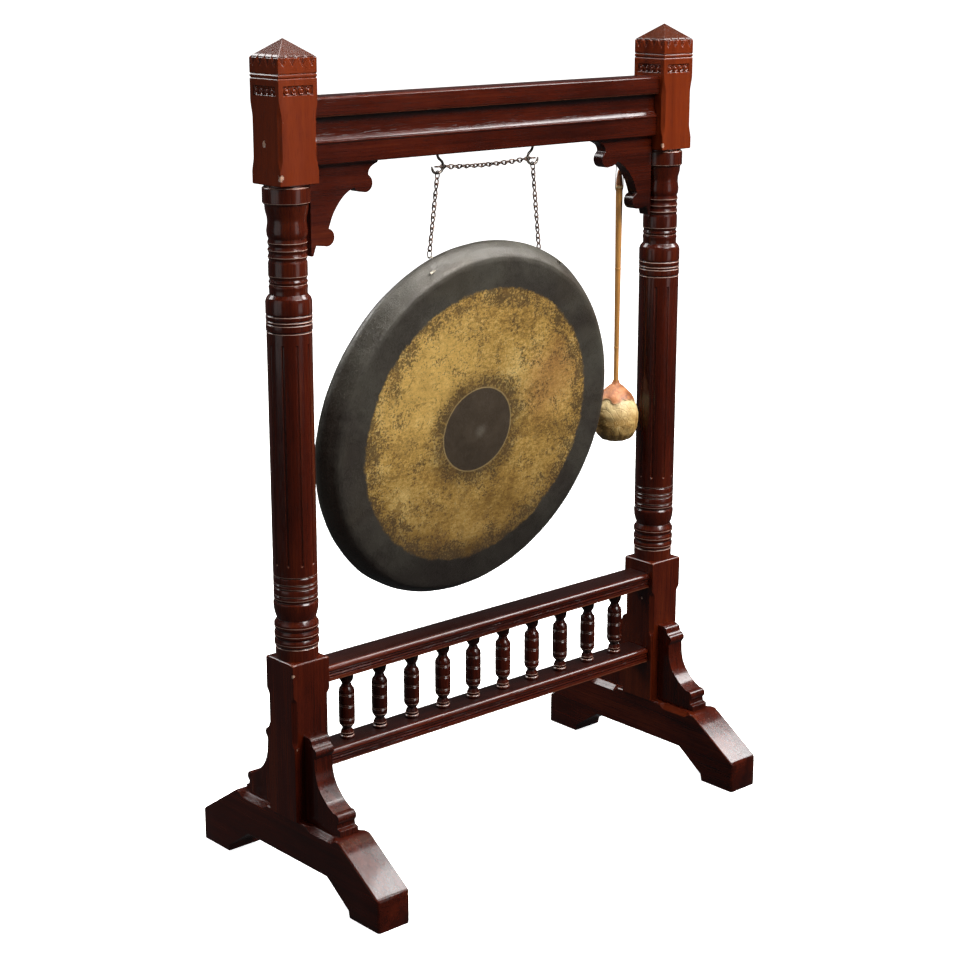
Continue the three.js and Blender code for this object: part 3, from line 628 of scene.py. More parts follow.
def makeStudio():
    sun = bpy.data.lights.new("skylight", "SUN")
    sun.energy = studio["sun"]["strength"]
    sun.angle = math.radians(studio["sun"]["angle"])
    sun.color = studio["sun"]["colour"]
    lamp = bpy.data.objects.new("skylight", sun)
    lamp.rotation_euler = aimed(studio["sun"]["direction"], (0, 0, 0))
    scene.collection.objects.link(lamp)
    for name in ("top", "side", "front", "low", "back", "left"):
        spec = studio[name]
        area = bpy.data.lights.new(name + "Softbox", "AREA")
        area.shape = "RECTANGLE"
        area.size, area.size_y = spec["size"]
        area.energy = spec["power"]
        lamp = bpy.data.objects.new(name + "Softbox", area)
        lamp.location = spec["place"]
        lamp.rotation_euler = aimed(spec["place"], spec["look"])
        scene.collection.objects.link(lamp)
    world = bpy.data.worlds.new("paleStudio")
    world.use_nodes = True
    world.node_tree.nodes["Background"].inputs[0].default_value = (0.95, 0.97, 1.0, 1)
    world.node_tree.nodes["Background"].inputs[1].default_value = studio["world"]
    scene.world = world
    side, high = 60, 50
    corners = [(-side, -side), (side, -side), (side, side), (-side, side)]
    mesh = bpy.data.meshes.new("studioFloor")
    walls = [(k, k + 4, (k + 1) % 4 + 4, (k + 1) % 4) for k in range(4)]
    mesh.from_pydata([(x, y, z) for z in (0, high) for x, y in corners], [], [(0, 1, 2, 3)] + walls)
    floor = bpy.data.objects.new("studioFloor", mesh)
    paint = Paint("paleFloor")
    mesh.materials.append(paint.finish(Base_Color=(0.92, 0.92, 0.92, 1), Roughness=0.9,
                                       Emission_Color=(1, 1, 1, 1), Emission_Strength=studio["floorGlow"]))
    scene.collection.objects.link(floor)
    floor.visible_glossy = False
    floor.visible_diffuse = False
    floor.visible_shadow = False
    scene.view_settings.view_transform = "Standard"


makeStudio()
print("studio lit")


# Posts
post = {
    "x": 500, "half": 44, "footTop": 147.8, "lowerTop": 474, "eave": 1620, "apex": 1653,
    "flutes": 10, "fluteHalf": 2.8, "fluteDeep": 1.7, "fluteLow": 666, "fluteHigh": 1096,
    "panel": (33, 1552, 1570, 2.4), "rosettePitch": 16.2, "rosetteRadius": 7.0,
    "notchPitch": 22, "notchBottom": 1603.5, "notchHalf": 9.6, "notchDeep": 2.4,
    "lines": (1583.6, 1590.6),
    # Heights of the painted highlight rings on the turned column.
    "highlightLines": (605.6, 620.7, 629.2, 644.1, 1116.5, 1131.4, 1137.4, 1148.0, 1206.6, 1222.3, 1257.5,
        1270.5, 1284, 1357.9, 1386.2, 497.6, 506, 523.5, 541.5, 597),
}

columnLow = [
    (41.9, 468), (41.9, 497), (40, 499), (43.6, 503), (43.6, 511), (40.5, 515.5), (43.6, 520), (43.6, 528),
    (40.5, 533), (43.6, 538), (43.6, 546), (39.5, 552), (37.6, 555), (41, 563), (43.2, 573), (44, 578),
        (44, 588),
    (41, 591.5), (43.2, 597), (43.2, 660),
]
columnHigh = [
    (43.2, 1102), (43.2, 1118), (44, 1120), (44, 1174), (42, 1181), (36, 1188), (36.2, 1197), (37, 1202),
    (35, 1207), (37, 1211.5), (34.5, 1216), (37, 1222), (37, 1247), (34.8, 1251.5), (37.4, 1257.5),
        (34.8, 1264),
    (37.4, 1270.5), (34.8, 1277), (37.4, 1284), (35.2, 1291), (37.8, 1297), (38.6, 1306), (37.6, 1315),
    (36.4, 1321), (37, 1331), (40.4, 1344), (41, 1354), (44.8, 1358), (44.8, 1385), (41, 1388), (41, 1396),
]
lowGrooves = [(603.8, 3.4, 1.9), (618.9, 3.4, 1.9), (627.4, 3.4, 1.9), (642.3, 3.4, 1.9)]
highGrooves = [(1118.3, 3.4, 1.9), (1133.2, 3.4, 1.9), (1139.2, 3.4, 1.9), (1149.8, 3.4, 1.9)]


# Fluted column: the turned radius less the depth of a round groove, where the distance from the groove's middle
# line, round its ends as well, is under its half width.
def columnShell(x):
    offsets = np.array([-13.57, -10, -6, -3.8, -2.9, -2.5, -1.9, -1, 0, 1, 1.9, 2.5, 2.9, 3.8, 6, 10]) / 43.2
    middles = roundAngles(post["flutes"])
    angles = (middles[:, None] + offsets[None, :]).reshape(-1)
    ends = np.array([0, 0.5, 1.1, 1.8, 2.6, 3.4, 4.4, 6.0])
    low, high = post["fluteLow"], post["fluteHigh"]
    body = np.r_[661.5, 664, low + ends, np.linspace(low + 20, high - 20, 12), (high - ends)[::-1], 1098,
            1100.5]
    parts = [thinProfile(softenProfile(columnLow, 0.35, 0.4, lowGrooves), lines=post["highlightLines"]),
             np.stack([np.full(len(body), 43.2), body], -1),
             thinProfile(softenProfile(columnHigh, 0.35, 0.4, highGrooves), lines=post["highlightLines"])]
    profile = np.concatenate(parts)
    z = profile[:, 1:2]
    sideways = np.tile(offsets, len(middles))[None, :] * 43.2
    beyond = np.maximum(np.maximum(low + 2.8 - z, z - high + 2.8), 0)
    reach = np.hypot(sideways, beyond) / post["fluteHalf"]
    groove = post["fluteDeep"] * np.sqrt(np.clip(1 - reach**2, 0, 1))
    r = profile[:, :1] - groove
    grid = np.stack([x + r * np.cos(angles), r * np.sin(angles), np.broadcast_to(z, r.shape)], -1)
    edge = hump(reach, 1.02, 0.16) * 0.8
    # Painted highlight: a thin pale ring at each of these heights, pushed far above 1 so the finish paints it
    # as a glint.
    lines = sum(hump(z, h, 0.65) for h in post["highlightLines"])
    # Painted highlight: a pale dot at the round lower end of each flute, where it would catch the light.
    foot = hump(z - low, 1.6, 1.8) * hump(sideways, 0, 1.6) * 1.6
    rubAndHighlight = profileWear(profile)[:, None] + edge + foot + lines * 2.6 - groove / post["fluteDeep"] * 0.25
    return shell(grid, rubAndHighlight)


# Square block: on each face a point at u and z lies half a width out, less the relief there, and the faces are
# quarter turns of the first. The corners are cut by a chamfer that changes with height.
def blockShell(x, z, half, chamfer, perFace, relief=None, rubAndHighlight=None):
    t = np.linspace(-1, 1, perFace)
    u = (half - chamfer)[:, None] * t
    depth = np.zeros_like(u) if relief is None else relief(u, z[:, None])
    out = half[:, None] - depth
    grid, wears = [], []
    for quarter in range(4):
        c, s = [(1, 0), (0, 1), (-1, 0), (0, -1)][quarter]
        grid.append(np.stack([x + u * c + out * s, u * s - out * c, np.broadcast_to(z[:, None], u.shape)],
                -1))
        corner = hump((1 - np.abs(t)) * 44, 0, 1.6)[None, :] * 0.75 / (1 + 0.6 * chamfer[:, None])
        sunk = np.clip(depth / 2.4 - 0.2, 0, 1) * 0.6
        base = 0 if rubAndHighlight is None else rubAndHighlight[:, None]
        wears.append(np.broadcast_to(corner, u.shape) + base - sunk)
    return shell(np.concatenate(grid, 1), np.concatenate(wears, 1))


# Relief of a top block's face: a sunk panel that holds a row of turned rosettes, and V chips under the eave.
def topRelief(u, z):
    halfWidth, low, high, deep = post["panel"]
    panel = smoothStep(halfWidth - np.abs(u), 0, 1.0) * smoothStep(z - low, 0, 1.0) * smoothStep(high - z,
            0, 1.0)
    pitch, radius = post["rosettePitch"], post["rosetteRadius"]
    place = np.clip(np.round(u / pitch - 0.5) + 0.5, -1.5, 1.5) * pitch
    reach = np.hypot(u - place, z - (low + high) / 2)
    disc = smoothStep(radius + 0.5 - reach, 0, 1.2)
    ring = hump(reach, 4.1, 0.9)
    button = np.sqrt(np.clip(1 - (reach / 3.0) ** 2, 0, 1))
    depth = panel * (deep - disc * 2.0 + ring * 1.5 - button * 0.5)
    chip = np.clip(np.round(u / post["notchPitch"] - 0.5) + 0.5, -1.5, 1.5) * post["notchPitch"]
    half = post["notchHalf"] * (z - post["notchBottom"]) / (post["eave"] - post["notchBottom"])
    cut = np.clip((half - np.abs(u - chip)) * 1.2, 0, post["notchDeep"])
    above = 1 - smoothStep(z, post["eave"], post["eave"] + 3.0)
    return depth + cut * above


def topBlockShell(x):
    h, eave = post["half"], post["eave"]
    z = np.unique(np.r_[1391, 1391.5, 1392.4, 1400, 1410, np.arange(1413, 1450, 3.0), 1465, 1490,
                        np.arange(1507, 1549, 3.0), 1549.5, np.arange(1551, 1571.6, 0.85), 1574, 1578, 1581,
                        np.arange(1581.6, 1593.2, 0.66), 1595, 1598, np.arange(1601, eave, 1.0), eave,
                            eave + 0.7,
                        eave + 1.6, eave + 3, eave + 6, eave + 12, eave + 20, eave + 28, post["apex"] - 0.4])
    half = np.where(z <= eave, float(h), h * (post["apex"] - z) / (post["apex"] - eave) + 0.4)
    half -= 0.9 * np.clip(1 - np.abs(z - eave) / 0.8, 0, 1) + 1.6 * np.clip((1392.2 - z) / 1.2, 0, 1)
    for line in post["lines"]:
        half -= 1.7 * np.clip(1 - np.abs(z - line) / 1.7, 0, 1)
    stop = smoothStep(z, 1412, 1442) * (1 - smoothStep(z, 1510, 1546))
    chamfer = np.minimum(0.9 + 5.6 * stop, half * 0.8)
    lineRub = sum(hump(np.abs(z - line), 2.0, 0.7) * 0.75 for line in post["lines"])
    lineRub = lineRub + hump(z, eave, 1.5) * 0.5 + hump(z, 1551, 0.8) * 0.2
    return blockShell(x, z, half, chamfer, 73, topRelief, lineRub)


def lowerBlockShell(x):
    low, high = post["footTop"], post["lowerTop"]
    z = np.r_[low, 200, 260, np.arange(298, 316, 2.5), 340, 370, np.arange(392, 412, 2.5), 440, 464, 470, 471,
              472.2, 473.4, high]
    half = np.where(z < 471, 44.0, 44 - (z - 471) * 0.55 - np.clip(z - 473, 0, 1) * 1.2)
    stop = smoothStep(z, 299, 313) * (1 - smoothStep(z, 395, 409))
    return blockShell(x, z, half, 0.9 + 7.6 * stop, 9, None, hump(z, 472.5, 1.6) * 0.7)


def makePosts():
    for name, x in (("post_left", -post["x"]), ("post_right", post["x"])):
        shells = [lowerBlockShell(x), columnShell(x), topBlockShell(x)]
        makePiece(name + "_turned", shells, uprightWood, "stand", [name], sharp=32)


makePosts()
print("posts turned, fluted and chip carved")


# Feet
foot = {"half": 39, "top": 147.5, "reach": 291, "toe": 66.9, "break": 170.4, "chamfer": 8.5, "toeRound": 6}


# Foot: stations along Y, each an eight-sided section with its top corners cut by the chamfer there. At the toes
# the section draws in by a quarter circle, and its top by part of that.
def footShell(x):
    h, top, reach, toe, turn = foot["half"], foot["top"], foot["reach"], foot["toe"], foot["break"]
    side = np.array([0, 60, 68, 72, 76, 80, 110, 131, 146, 150, 154, 158, 162, turn, 199, 202, 230,
                     reach - 6, reach - 3.4, reach - 1.6, reach - 0.5, reach])
    y = np.r_[-side[:0:-1], side]
    a = np.abs(y)
    bow = foot["toeRound"]
    inset = bow - np.sqrt(bow**2 - np.clip(a - reach + bow, 0, bow - 0.04) ** 2)
    roof = np.where(a <= turn, top, top - (a - turn) * (top - toe) / (reach - turn)) - inset * 0.6
    under = np.interp(a, [0, 131, 199, 202, reach], [62, 62, 14.5, 0, 0])
    cut = 2.2 + foot["chamfer"] * smoothStep(a, 66, 80) * (1 - smoothStep(a, 146, 160))
    low = 1.6 + 0 * a
    h = h - inset
    xs = np.stack([-h + cut, -h, -h, -h + low, h - low, h, h, h - cut], -1)
    zs = np.stack([roof, roof - cut, under + low, under, under, under + low, roof - cut, roof], -1)
    ys = np.broadcast_to(y[:, None], xs.shape)
    rubAndHighlight = np.tile([0.5, 0.5, 0, 0, 0, 0, 0.5, 0.5], (len(y), 1))
    return shell(np.stack([x + xs, ys, zs], -1)[:, ::-1], rubAndHighlight)


def makeFeet():
    for name, x in (("foot_left", -500), ("foot_right", 500)):
        makePiece(name + "_shaped", [footShell(x)], darkFoot, "stand", [name], bevel=0.9,
                segments=2)


makeFeet()


# Brackets

# Arc of a circle in a flat outline, from one angle to another in degrees.
def arc(centre, radius, start, end, count=14):
    a = np.radians(np.linspace(start, end, count))
    return [(centre[0] + radius * math.cos(t), centre[1] + radius * math.sin(t)) for t in a]


def spline2(points, perSpan=6):
    return [tuple(p) for p in smoothPath(points, perSpan)]


# Board cut to an outline: the outline at each face's plane, joined by its edge.
def boardShell(outline, low, high, place):
    p = np.asarray(outline, float)
    area = 0.5 * np.sum(p[:, 0] * np.roll(p[:, 1], -1) - np.roll(p[:, 0], -1) * p[:, 1])
    p = p if area > 0 else p[::-1]
    grid = np.stack([place(p[:, 0], p[:, 1], np.full(len(p), level)) for level in (low, high)])
    verts, faces, rubAndHighlight = shell(grid)
    a, b, c = grid[0, 0], grid[0, 1], grid[1, 0]
    outward = np.cross(b - a, c - a)
    edge = np.stack([p[1, 1] - p[0, 1], p[0, 0] - p[1, 0]])
    probe = place(*(np.array([[p[0, 0] + edge[0]], [p[0, 1] + edge[1]]])), np.array([low]))[0] - a
    if outward @ probe < 0:
        faces = [f[::-1] for f in faces]
    return verts, faces, rubAndHighlight


scrollOutline = (
    [(0, 147.8), (112, 147.8), (112, 160), (103, 163), (101.5, 170.5)] + arc((96, 181), 11, -58, 112)
    + spline2([(84, 195), (67, 206), (46, 228), (35.5, 254), (33, 285)])[1:]
    + arc((29, 297), 10.5, -52, 76, 10) + [(27, 312)] + arc((14, 312.5), 12.5, 2, 90, 9) + [(0, 325)]
)
cornerOutline = (
    [(0, 1421.7), (163, 1421.7), (160, 1417)] + spline2([(152, 1414), (144, 1409), (139.5, 1403),
        (138, 1396)])
    + arc((131, 1379.5), 17, 54, -112, 18)[1:]
    + spline2([(120, 1363.5), (107, 1368.5), (101, 1372.5), (77, 1358), (55, 1331), (42, 1302)])[1:]
    + arc((38, 1285.5), 17, 76, -108, 18)[1:] + [(12, 1272), (5, 1253), (0, 1253)]
)


def makeBrackets():
    for name, x, end in (("left_front", -500, -1), ("left_rear", -500, 1), ("right_front", 500, -1),
                         ("right_rear", 500, 1)):
        board = boardShell(scrollOutline, x - 22, x + 22,
                           lambda u, v, w: np.stack([w, end * (44.3 + u), v], -1))
        makePiece("scroll_bracket_%s_cut" % name, [board], darkUpright, "stand", ["scroll_bracket_" + name],
                  bevel=0.9, segments=2)
    for name, side in (("left", -1), ("right", 1)):
        board = boardShell(cornerOutline, -13.5, 13.5,
                           lambda u, v, w: np.stack([side * (454.9 - u), w, v], -1))
        makePiece("corner_bracket_%s_cut" % name, [board], crossWood, "stand", ["corner_bracket_" + name],
                  bevel=0.9, segments=2)


makeBrackets()
print("feet and brackets shaped")


# Beam and rails
beam = {"reach": 455.7, "half": [
    (28, 1546), (31, 1543), (31, 1513), (29.5, 1510), (19, 1508), (19, 1482), (20.5, 1473), (25, 1466),
    (28, 1464.5), (28, 1461.5), (26, 1459.5), (26, 1424), (24.5, 1422)]}
rail = {"reach": 455.7, "depth": 35.5, "height": 33.4, "tops": {"upper_rail": 448, "lower_rail": 271.6}}


# Moulding: a half section of (depth, height), softened, mirrored to the back and carried along X.
def mouldingShell(half, reach):
    soft = thinProfile(softenProfile([(0, half[0][1])] + list(half) + [(0, half[-1][1])], 0.35, 0.55), 10,
            80)[1:-1]
    wearAndHighlight = profileWear(soft, 8, 2.2)
    loop = np.concatenate([soft * [-1, 1], soft[::-1]])
    rubAndHighlight = np.concatenate([wearAndHighlight, wearAndHighlight[::-1]])
    x = np.linspace(-reach, reach, 9)
    grid = np.stack([np.repeat(x[:, None], len(loop), 1), np.tile(loop[:, 0], (len(x), 1)),
                     np.tile(loop[:, 1], (len(x), 1))], -1)
    return shell(grid, rubAndHighlight[None, :])


def makeRails():
    makePiece("top_beam_moulded", [mouldingShell(beam["half"], beam["reach"])], crossWood, "stand",
            ["top_beam"],
              sharp=40)
    d = rail["depth"]
    for name, top in rail["tops"].items():
        half = [(d - 9, top), (d - 4.5, top - 1.6), (d - 1.2, top - 5), (d, top - 9), (d - 1, top - 11.5),
                (d - 3.8, top - 12.3),
                (d - 1.8, top - 15), (d - 4.0, top - 18), (d - 1.8, top - 21), (d - 4.0, top - 24),
                (d - 2.5, top - 26), (d - 2.5, top - 32), (d - 4, top - rail["height"])]
        makePiece(name + "_moulded", [mouldingShell(half, rail["reach"])], crossWood, "stand", [name],
                  sharp=40)


makeRails()


# Balusters
baluster = {"count": 10, "pitch": 84.6, "low": 271.9, "high": 414.3, "sides": 40}


def makeBalusters():
    low, high = baluster["low"], baluster["high"]
    profile = [
        (14, low), (15, low + 0.6), (15, low + 5), (12.6, low + 7), (13.6, low + 11), (12.2, low + 16),
        (9, low + 21), (15.6, low + 30), (16.4, low + 36), (16.4, high - 44), (15.4, high - 38),
            (11.5, high - 33),
        (9, high - 26), (13.5, high - 19), (14.5, high - 12), (14.5, high - 0.6), (14, high)]
    heights = (low + 40, low + 43, (low + high) / 2 - 3.5, (low + high) / 2, high - 51, high - 48, high - 8.5)
    grooves = [(z, 2.6, 1.3) for z in heights]
    highlightRings = [z + 1.2 for z in heights + (low + 11, low + 5, low + 30)]
    soft = thinProfile(softenProfile(profile, 0.3, 0.3, grooves), 15, 30, highlightRings)
    wearAndHighlight = profileWear(soft, 8, 2.0)[:, None]
    # Painted highlight: thin pale rings at these heights, pushed far above 1 so the finish paints them as
    # glints.
    for z in highlightRings:
        wearAndHighlight = wearAndHighlight + 2.4 * hump(soft[:, 1:], z, 0.55)
    for k in range(baluster["count"]):
        x = (k - (baluster["count"] - 1) / 2) * baluster["pitch"]
        turned = shell(spin(soft, roundAngles(baluster["sides"]) + 0.31 * k, (x, 0)), wearAndHighlight)
        makePiece("baluster_%d_turned" % (k + 1), [turned], darkUpright, "stand", ["baluster_%d" % (k + 1)],
                  sharp=40)


makeBalusters()
print("beam, rails and balusters made")


# Gong
gong = {
    "centre": (-33, -7.74, 861.5), "tilt": 9.5, "sheet": 2.5, "sides": 176,
    "face": [(0, -3), (45, -2.3), (88, 0), (92, 0.15), (240, 0), (351, 0), (359, 2), (365, 7), (374.5, 20),
             (381, 33), (382, 41), (380.5, 48), (378, 54)],
}


# Point at a radius and angle on the gong: centre + r cos a along X + r sin a up the face + depth behind it.
def gongPoint(r, angle, depth):
    tilt = math.radians(gong["tilt"])
    up = np.array([0, -math.sin(tilt), math.cos(tilt)])
    back = np.array([0, math.cos(tilt), math.sin(tilt)])
    r, angle, depth = np.broadcast_arrays(np.asarray(r, float), np.radians(angle), np.asarray(depth, float))
    across = np.array([1.0, 0, 0])
    return (np.asarray(gong["centre"]) + (r * np.cos(angle))[..., None] * across
            + (r * np.sin(angle))[..., None] * up + depth[..., None] * back)


# Spun sheet: the face profile and the same line moved in by the sheet's thickness, turned round the gong's
# axis, with shallow unevenness left by the hammer.
def makeGong():
    line = softenProfile(gong["face"], 1.0, 2.2)
    line[:, 0] = np.maximum(line[:, 0], 0.4)
    line = thinProfile(line, 5, 14)
    ahead = unit(np.gradient(line, axis=0))
    inner = line + np.stack([-ahead[:, 1], ahead[:, 0]], -1) * gong["sheet"]
    inner[:, 0] = np.maximum(inner[:, 0], 0.4)
    lip = [line[-1] + ahead[-1] * 0.9 - np.array([1.2, 0.0])]
    loop = np.concatenate([line, lip, inner[::-1]])
    angles = np.linspace(360, 0, gong["sides"], endpoint=False)
    r, depth = loop[:, :1], loop[:, 1:]
    rest = gongPoint(r, angles[None, :], depth)
    rim = smoothStep(r, 300, 370)
    wobble = lumps(rest, 130, 11) * 0.55 + lumps(rest, 52, 12) * 0.28
    dented = gongPoint(r + wobble * rim * 0.9, angles[None, :],
            depth + wobble * (1 - 0.6 * rim) * smoothStep(r, 6, 40))
    makePiece("gong_hammered", [shell(dented)], bronze, "gong", ["gong"], sharp=50)


makeGong()


# Hooks, chains and rim wires
hook = {"left": (-134.5, 1), "right": (120.5, -1), "wire": 2.7, "bowl": 38.5, "beam": 1422}
chain = {
    "ring": (8.0, 5.8, 1.2), "wire": 1.5, "halfWidth": 4.1, "pitch": 11.0, "twist": 30,
    "ends": {"left": (-156, 1221.5), "right": (140, 1197)}, "crossZ": 1396, "sag": 5,
}
rimWire = {"wire": 1.0, "eye": 4.0, "holes": {"left": (114.6, 17), "right": (59.5, 20)}}


# Link: an oval of wire whose plane turns a little from one end to the other, as in twisted chain.
def linkShell(centre, along, side, halfLength, halfWidth, wire, twist=0.0, steps=26, sides=10):
    along, side = np.asarray(along, float), np.asarray(side, float)
    flat = np.cross(along, side)
    a = roundAngles(steps)
    turn = (math.radians(twist) * np.cos(a))[:, None]
    across = np.cos(turn) * side + np.sin(turn) * flat
    normal = np.cos(turn) * flat - np.sin(turn) * side
    bulge = np.sign(np.sin(a)) * np.abs(np.sin(a)) ** 0.8
    path = np.asarray(centre) + halfLength * np.cos(a)[:, None] * along + halfWidth * bulge[:, None] * across
    return bar(path, wire, sides, normal, closed=True)


# Run of links between two rings: the count comes from the pitch, and each link is turned on from the last.
def chainShells(first, last, firstSide, sag=0.0):
    first, last = np.asarray(first, float), np.asarray(last, float)
    ringLength, ringWidth, ringWire = chain["ring"]
    t = np.linspace(0, 1, 200)[:, None]
    path = first + (last - first) * t - np.array([0, 0, 4 * sag]) * t * (1 - t)
    along = runLength(path)
    wire = chain["wire"]
    guess = chain["pitch"] / 2 + wire
    inset = ringLength + guess - ringWire - wire
    count = int(round((along[-1] - 2 * inset) / chain["pitch"])) + 1
    pitch = (along[-1] - 2 * inset) / (count - 1)
    halfLength = pitch / 2 + wire
    roll = 180 * round((count + 1) / 2) / (count + 1)
    direction = unit(last - first)
    side0 = unit(np.asarray(firstSide, float) - (np.asarray(firstSide, float) @ direction) * direction)
    side1 = np.cross(direction, side0)
    shells = [linkShell(end, direction, side0, ringLength, ringWidth, ringWire) for end in (first, last)]
    for k in range(count):
        s = inset + pitch * k
        centre = pointsAt(path, along, s)
        ahead = pointsAt(path, along, s + 2)
        tangent = unit(ahead - centre)
        angle = math.radians(roll * (k + 1) + 7 * math.sin(2.3 * k))
        side = math.cos(angle) * side0 + math.sin(angle) * side1
        side = unit(side - (side @ tangent) * tangent)
        shells.append(linkShell(centre, tangent, side, halfLength, chain["halfWidth"], wire, chain["twist"]))
    return shells


def makeHooks():
    for name in ("left", "right"):
        x, side = hook[name]
        offsets = [(0, 25), (0, 12), (0, 0), (3, -9), (12, -17), (15, -26), (10.5, -35), (0, -38.5),
                (-10, -35),
                   (-14.5, -25)]
        path = smoothPath([(x + side * u, 0, hook["beam"] + v) for u, v in offsets], 10)
        s = np.linspace(0, 1, len(path))
        radius = hook["wire"] * (1 - 0.45 * smoothStep(s, 0.93, 1.0)) * (1 + 0.03 * np.sin(s * 60))
        collar = [(2.4, 1421.9), (4.9, 1421.7), (5.2, 1420.8), (4.6, 1419.9), (2.4, 1419.6)]
        washer = shell(spin(softenProfile(collar[::-1], 0.25, 0.3), roundAngles(24), (x, 0)))
        makePiece("hook_%s_bent" % name, [bar(path, radius, 16, (0, 1, 0)), washer], ironMetal, "stand",
                  ["hook_" + name], sharp=60)


def makeChains():
    ringLength, ringWidth, ringWire = chain["ring"]
    top = hook["beam"] - hook["bowl"] + hook["wire"] + 0.6 + ringWire - ringLength
    for name in ("left", "right"):
        x = hook[name][0]
        endX, endZ = chain["ends"][name]
        foot = (endX, 0, endZ - rimWire["wire"] - 0.3 - ringWire + ringLength)
        makePiece("chain_%s_links" % name, chainShells((x, 0, top), foot, (0, 1, 0)), chainMetal, "chains",
                  ["chain_" + name], sharp=180)
    reach = 15 - (hook["wire"] + 0.6 + ringWire) - ringLength
    first = (hook["left"][0] + reach, 0, chain["crossZ"])
    last = (hook["right"][0] - reach, 0, chain["crossZ"])
    makePiece("cross_chain_links", chainShells(first, last, (0, 1, 0), chain["sag"]), chainMetal,
            "cross_chain",
              ["cross_chain"], sharp=180)


# Rim wire: eye in the chain's last ring, stem to the hole with a wrapping round it, and a knot outside.
def makeRimWires():
    for name in ("left", "right"):
        angle, depth = rimWire["holes"][name]
        x, z = chain["ends"][name]
        eye = rimWire["eye"]
        wire = rimWire["wire"]
        drop = np.array([x, -2 * eye + 0.2, z])
        radii, depths = np.array(gong["face"][6:11]).T
        skin = np.interp(depth, depths, radii)
        stem = smoothPath([gongPoint(skin + 3, angle, depth), gongPoint(skin - 3, angle, depth),
                gongPoint(364, angle, depth + 3),
                           drop * 0.5 + gongPoint(361, angle, depth + 10) * 0.5, drop], 10)
        shells = [linkShell((x, -eye, z), (1, 0, 0), (0, 1, 0), eye, eye, wire),
                bar(stem, wire, 10, (0.3, 0.2, 1))]
        turns = np.linspace(0, 1, 90)
        core = pointsAt(stem, np.linspace(0, 1, len(stem)), turns * 0.55 + 0.42)
        ahead = unit(np.gradient(core, axis=0))
        n = unit(np.cross(ahead, (0.3, 0.2, 1)))
        b = np.cross(ahead, n)
        coil = (turns * 2 * np.pi * 5)[:, None]
        shells.append(bar(core + 1.75 * (np.cos(coil) * n + np.sin(coil) * b), 0.75, 8,
                ahead * 1.0 + n * 0.01 + b * 0.3))
        out = unit(gongPoint(400, angle, depth) - gongPoint(300, angle, depth))
        around = unit(gongPoint(380, angle + 1, depth) - gongPoint(380, angle, depth))
        behind = np.cross(out, around)
        seat = gongPoint(skin + 1.6, angle, depth)
        for lean, size in ((18, 5.2), (-32, 4.4)):
            c, s = math.cos(math.radians(lean)), math.sin(math.radians(lean))
            long, wide = around * c + behind * s, behind * c - around * s
            shells.append(linkShell(seat + out * 0.3, long, wide, size, 1.9, 0.85))
        for lean, size in ((35, 8.5), (160, 7.5)):
            c, s = math.cos(math.radians(lean)), math.sin(math.radians(lean))
            long = around * c + behind * s
            tail = [seat + out * 1.0, seat + out * 1.8 + long * size * 0.5, seat + out * 0.8 + long * size]
            shells.append(bar(smoothPath(tail, 5), 0.8, 8, out))
        makePiece("rim_wire_%s_twist" % name, shells, wireMetal, "gong", ["rim_wire_" + name],
                sharp=60)


makeHooks()
makeChains()
makeRimWires()
print("gong, hooks, chains and wires made")


# Mallet
mallet = {"x": 401, "y": 28, "nodes": (965, 1138), "headSides": 120}


def makeMalletHook():
    path = [(1, 1394), (17, 1394), (21.5, 1391), (22.5, 1384), (28, 1378), (33.5, 1384), (34, 1391)]
    curve = smoothPath([(mallet["x"], y, z) for y, z in path], 9)
    s = np.linspace(0, 1, len(curve))
    radius = 1.5 * (1 - 0.4 * smoothStep(s, 0.94, 1))
    rose = [(1.6, 13.4), (4.2, 13.4), (4.4, 14.2), (3.2, 15.0), (1.6, 15.3)]
    plate = spin(softenProfile(rose, 0.2, 0.25), roundAngles(24))
    plate = np.stack([mallet["x"] + plate[..., 0], plate[..., 2], 1394 - plate[..., 1]], -1)
    makePiece("mallet_hook_bent", [bar(curve, radius, 14, (1, 0, 0)), shell(plate)], brassMetal, "stand",
              ["mallet_hook"], sharp=60)


def makeHandle():
    profile = [(5.4, 790), (5.4, 960), (6.4, 1150), (7.5, 1290), (7.5, 1309), (8.4, 1311.5), (8.4, 1315),
            (7.6, 1316.5)]
    soft = thinProfile(softenProfile(profile, 0.5, 0.6), 8, 18)
    for node in mallet["nodes"]:
        soft = np.concatenate([soft, [(np.interp(node + d, soft[:, 1], soft[:, 0]), node + d)
                                      for d in (-5, -3, -1.5, -0.5, 0.3, 1.2, 2.5, 4.5)]])
        soft = soft[np.argsort(soft[:, 1])]
        soft[:, 0] += 0.75 * hump(soft[:, 1] - node, -1.4, 1.6) - 0.35 * hump(soft[:, 1] - node, 0.8, 0.8)
    grid = spin(soft, roundAngles(28), (mallet["x"], mallet["y"]))
    makePiece("mallet_cane", [shell(grid, profileWear(soft, 12, 1.2)[:, None])], cane, "mallet",
            ["mallet_handle"],
              sharp=50)
    end = [(6.4, 1316.9), (7.4, 1317.2), (7.1, 1322), (6.6, 1330), (5.2, 1340), (4, 1346.5), (2.3, 1349.6),
            (0.5, 1350)]
    tip = thinProfile(softenProfile(end, 0.3, 0.6), 9, 6)
    grid = spin(tip, roundAngles(28), (mallet["x"], mallet["y"]))
    makePiece("mallet_tip", [shell(grid, profileWear(tip, 8, 1.5)[:, None])], leather, "mallet",
            ["handle_end"],
              sharp=50)


headOutside = [(0.5, 755), (14, 755), (31, 760), (44, 775), (50, 796), (51, 818), (46, 838), (35, 856),
        (14, 876),
               (6.2, 876.2)]


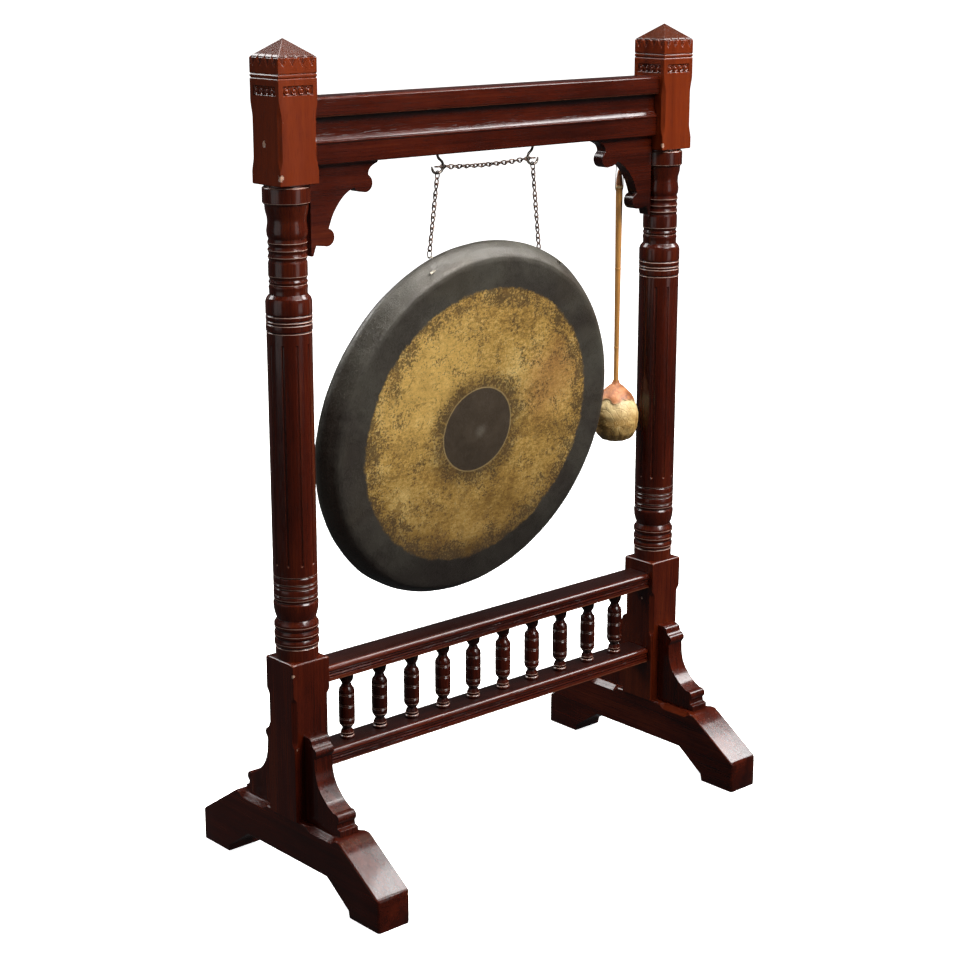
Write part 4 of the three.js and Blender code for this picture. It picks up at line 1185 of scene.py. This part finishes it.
# Hide head: a turned outline that bulges and sinks by an uneven field, with gathers below that fade upwards.
def makeHead():
    line = softenProfile(headOutside, 1.0, 4.0)
    line[:, 0] = np.maximum(line[:, 0], 0.5)
    line = thinProfile(line, 3.2, 3.2)
    a = roundAngles(mallet["headSides"])
    grid = spin(line, a, (mallet["x"], mallet["y"]))
    ahead = unit(np.gradient(line, axis=0))
    out = np.stack([ahead[:, 1:2] * np.cos(a), ahead[:, 1:2] * np.sin(a),
            np.repeat(-ahead[:, :1], len(a), 1)], -1)
    z = line[:, 1:2]
    body = smoothStep(z, 755, 768) * (1 - smoothStep(z, 858, 876))
    gathers = np.cos(13 * a + 1.5 * np.sin(3 * a))[None, :] * (1 - smoothStep(z, 758, 800)) * smoothStep(z,
            754, 762) * 0.9
    move = (lumps(grid, 46, 21) * 0.95 + lumps(grid, 19, 22) * 0.42) * body - np.abs(lumps(grid, 30,
            23)) * 0.5 * body
    head = makePiece("mallet_head_hide", [shell(grid + out * (move + gathers)[..., None])], hide, "mallet",
                     ["mallet_head"], sharp=180)


# Leather collar: it follows the head's shoulder out to a wavy edge and rises round the cane.
def makeHeadCap():
    a = roundAngles(96)
    under = np.array([(5.95, 889), (7.2, 884.5), (9.5, 880.5), (14, 877.4), (35, 857.6), (46, 839.6)])
    s = np.r_[np.linspace(0, 0.2, 8), np.linspace(0.25, 0.96, 12), 0.985, 1.0][:, None]
    edge = 39.5 + 2.2 * np.sin(5 * a + 0.6) + 1.3 * np.sin(8 * a + 2.0) + 0.6 * np.sin(17 * a)
    r = 5.95 + (edge[None, :] - 5.95) * s
    z = np.interp(r, under[:, 0], under[:, 1]) + 0.35 * np.sin(9 * a + 4 * s) * smoothStep(r, 12, 30)
    thick = 1.5 * np.sqrt(np.clip(1 - ((s - 0.45) / 0.56) ** 2, 0, 1)) + 0.5
    top = np.stack([mallet["x"] + (r + 0.62 * thick) * np.cos(a),
            mallet["y"] + (r + 0.62 * thick) * np.sin(a),
                    z + 0.72 * thick], -1)
    base = np.stack([mallet["x"] + r * np.cos(a), mallet["y"] + r * np.sin(a), z], -1)
    grid = np.concatenate([top[::-1], base])
    rubAndHighlight = np.concatenate([np.repeat(smoothStep(s, 0.9, 1.0)[::-1], len(a), 1), np.zeros_like(r)])
    makePiece("mallet_collar", [shell(grid, rubAndHighlight, wrapRows=True)], leather, "mallet", ["head_cap"],
            sharp=60)


makeMalletHook()
makeHandle()
makeHead()
makeHeadCap()
print("mallet made")
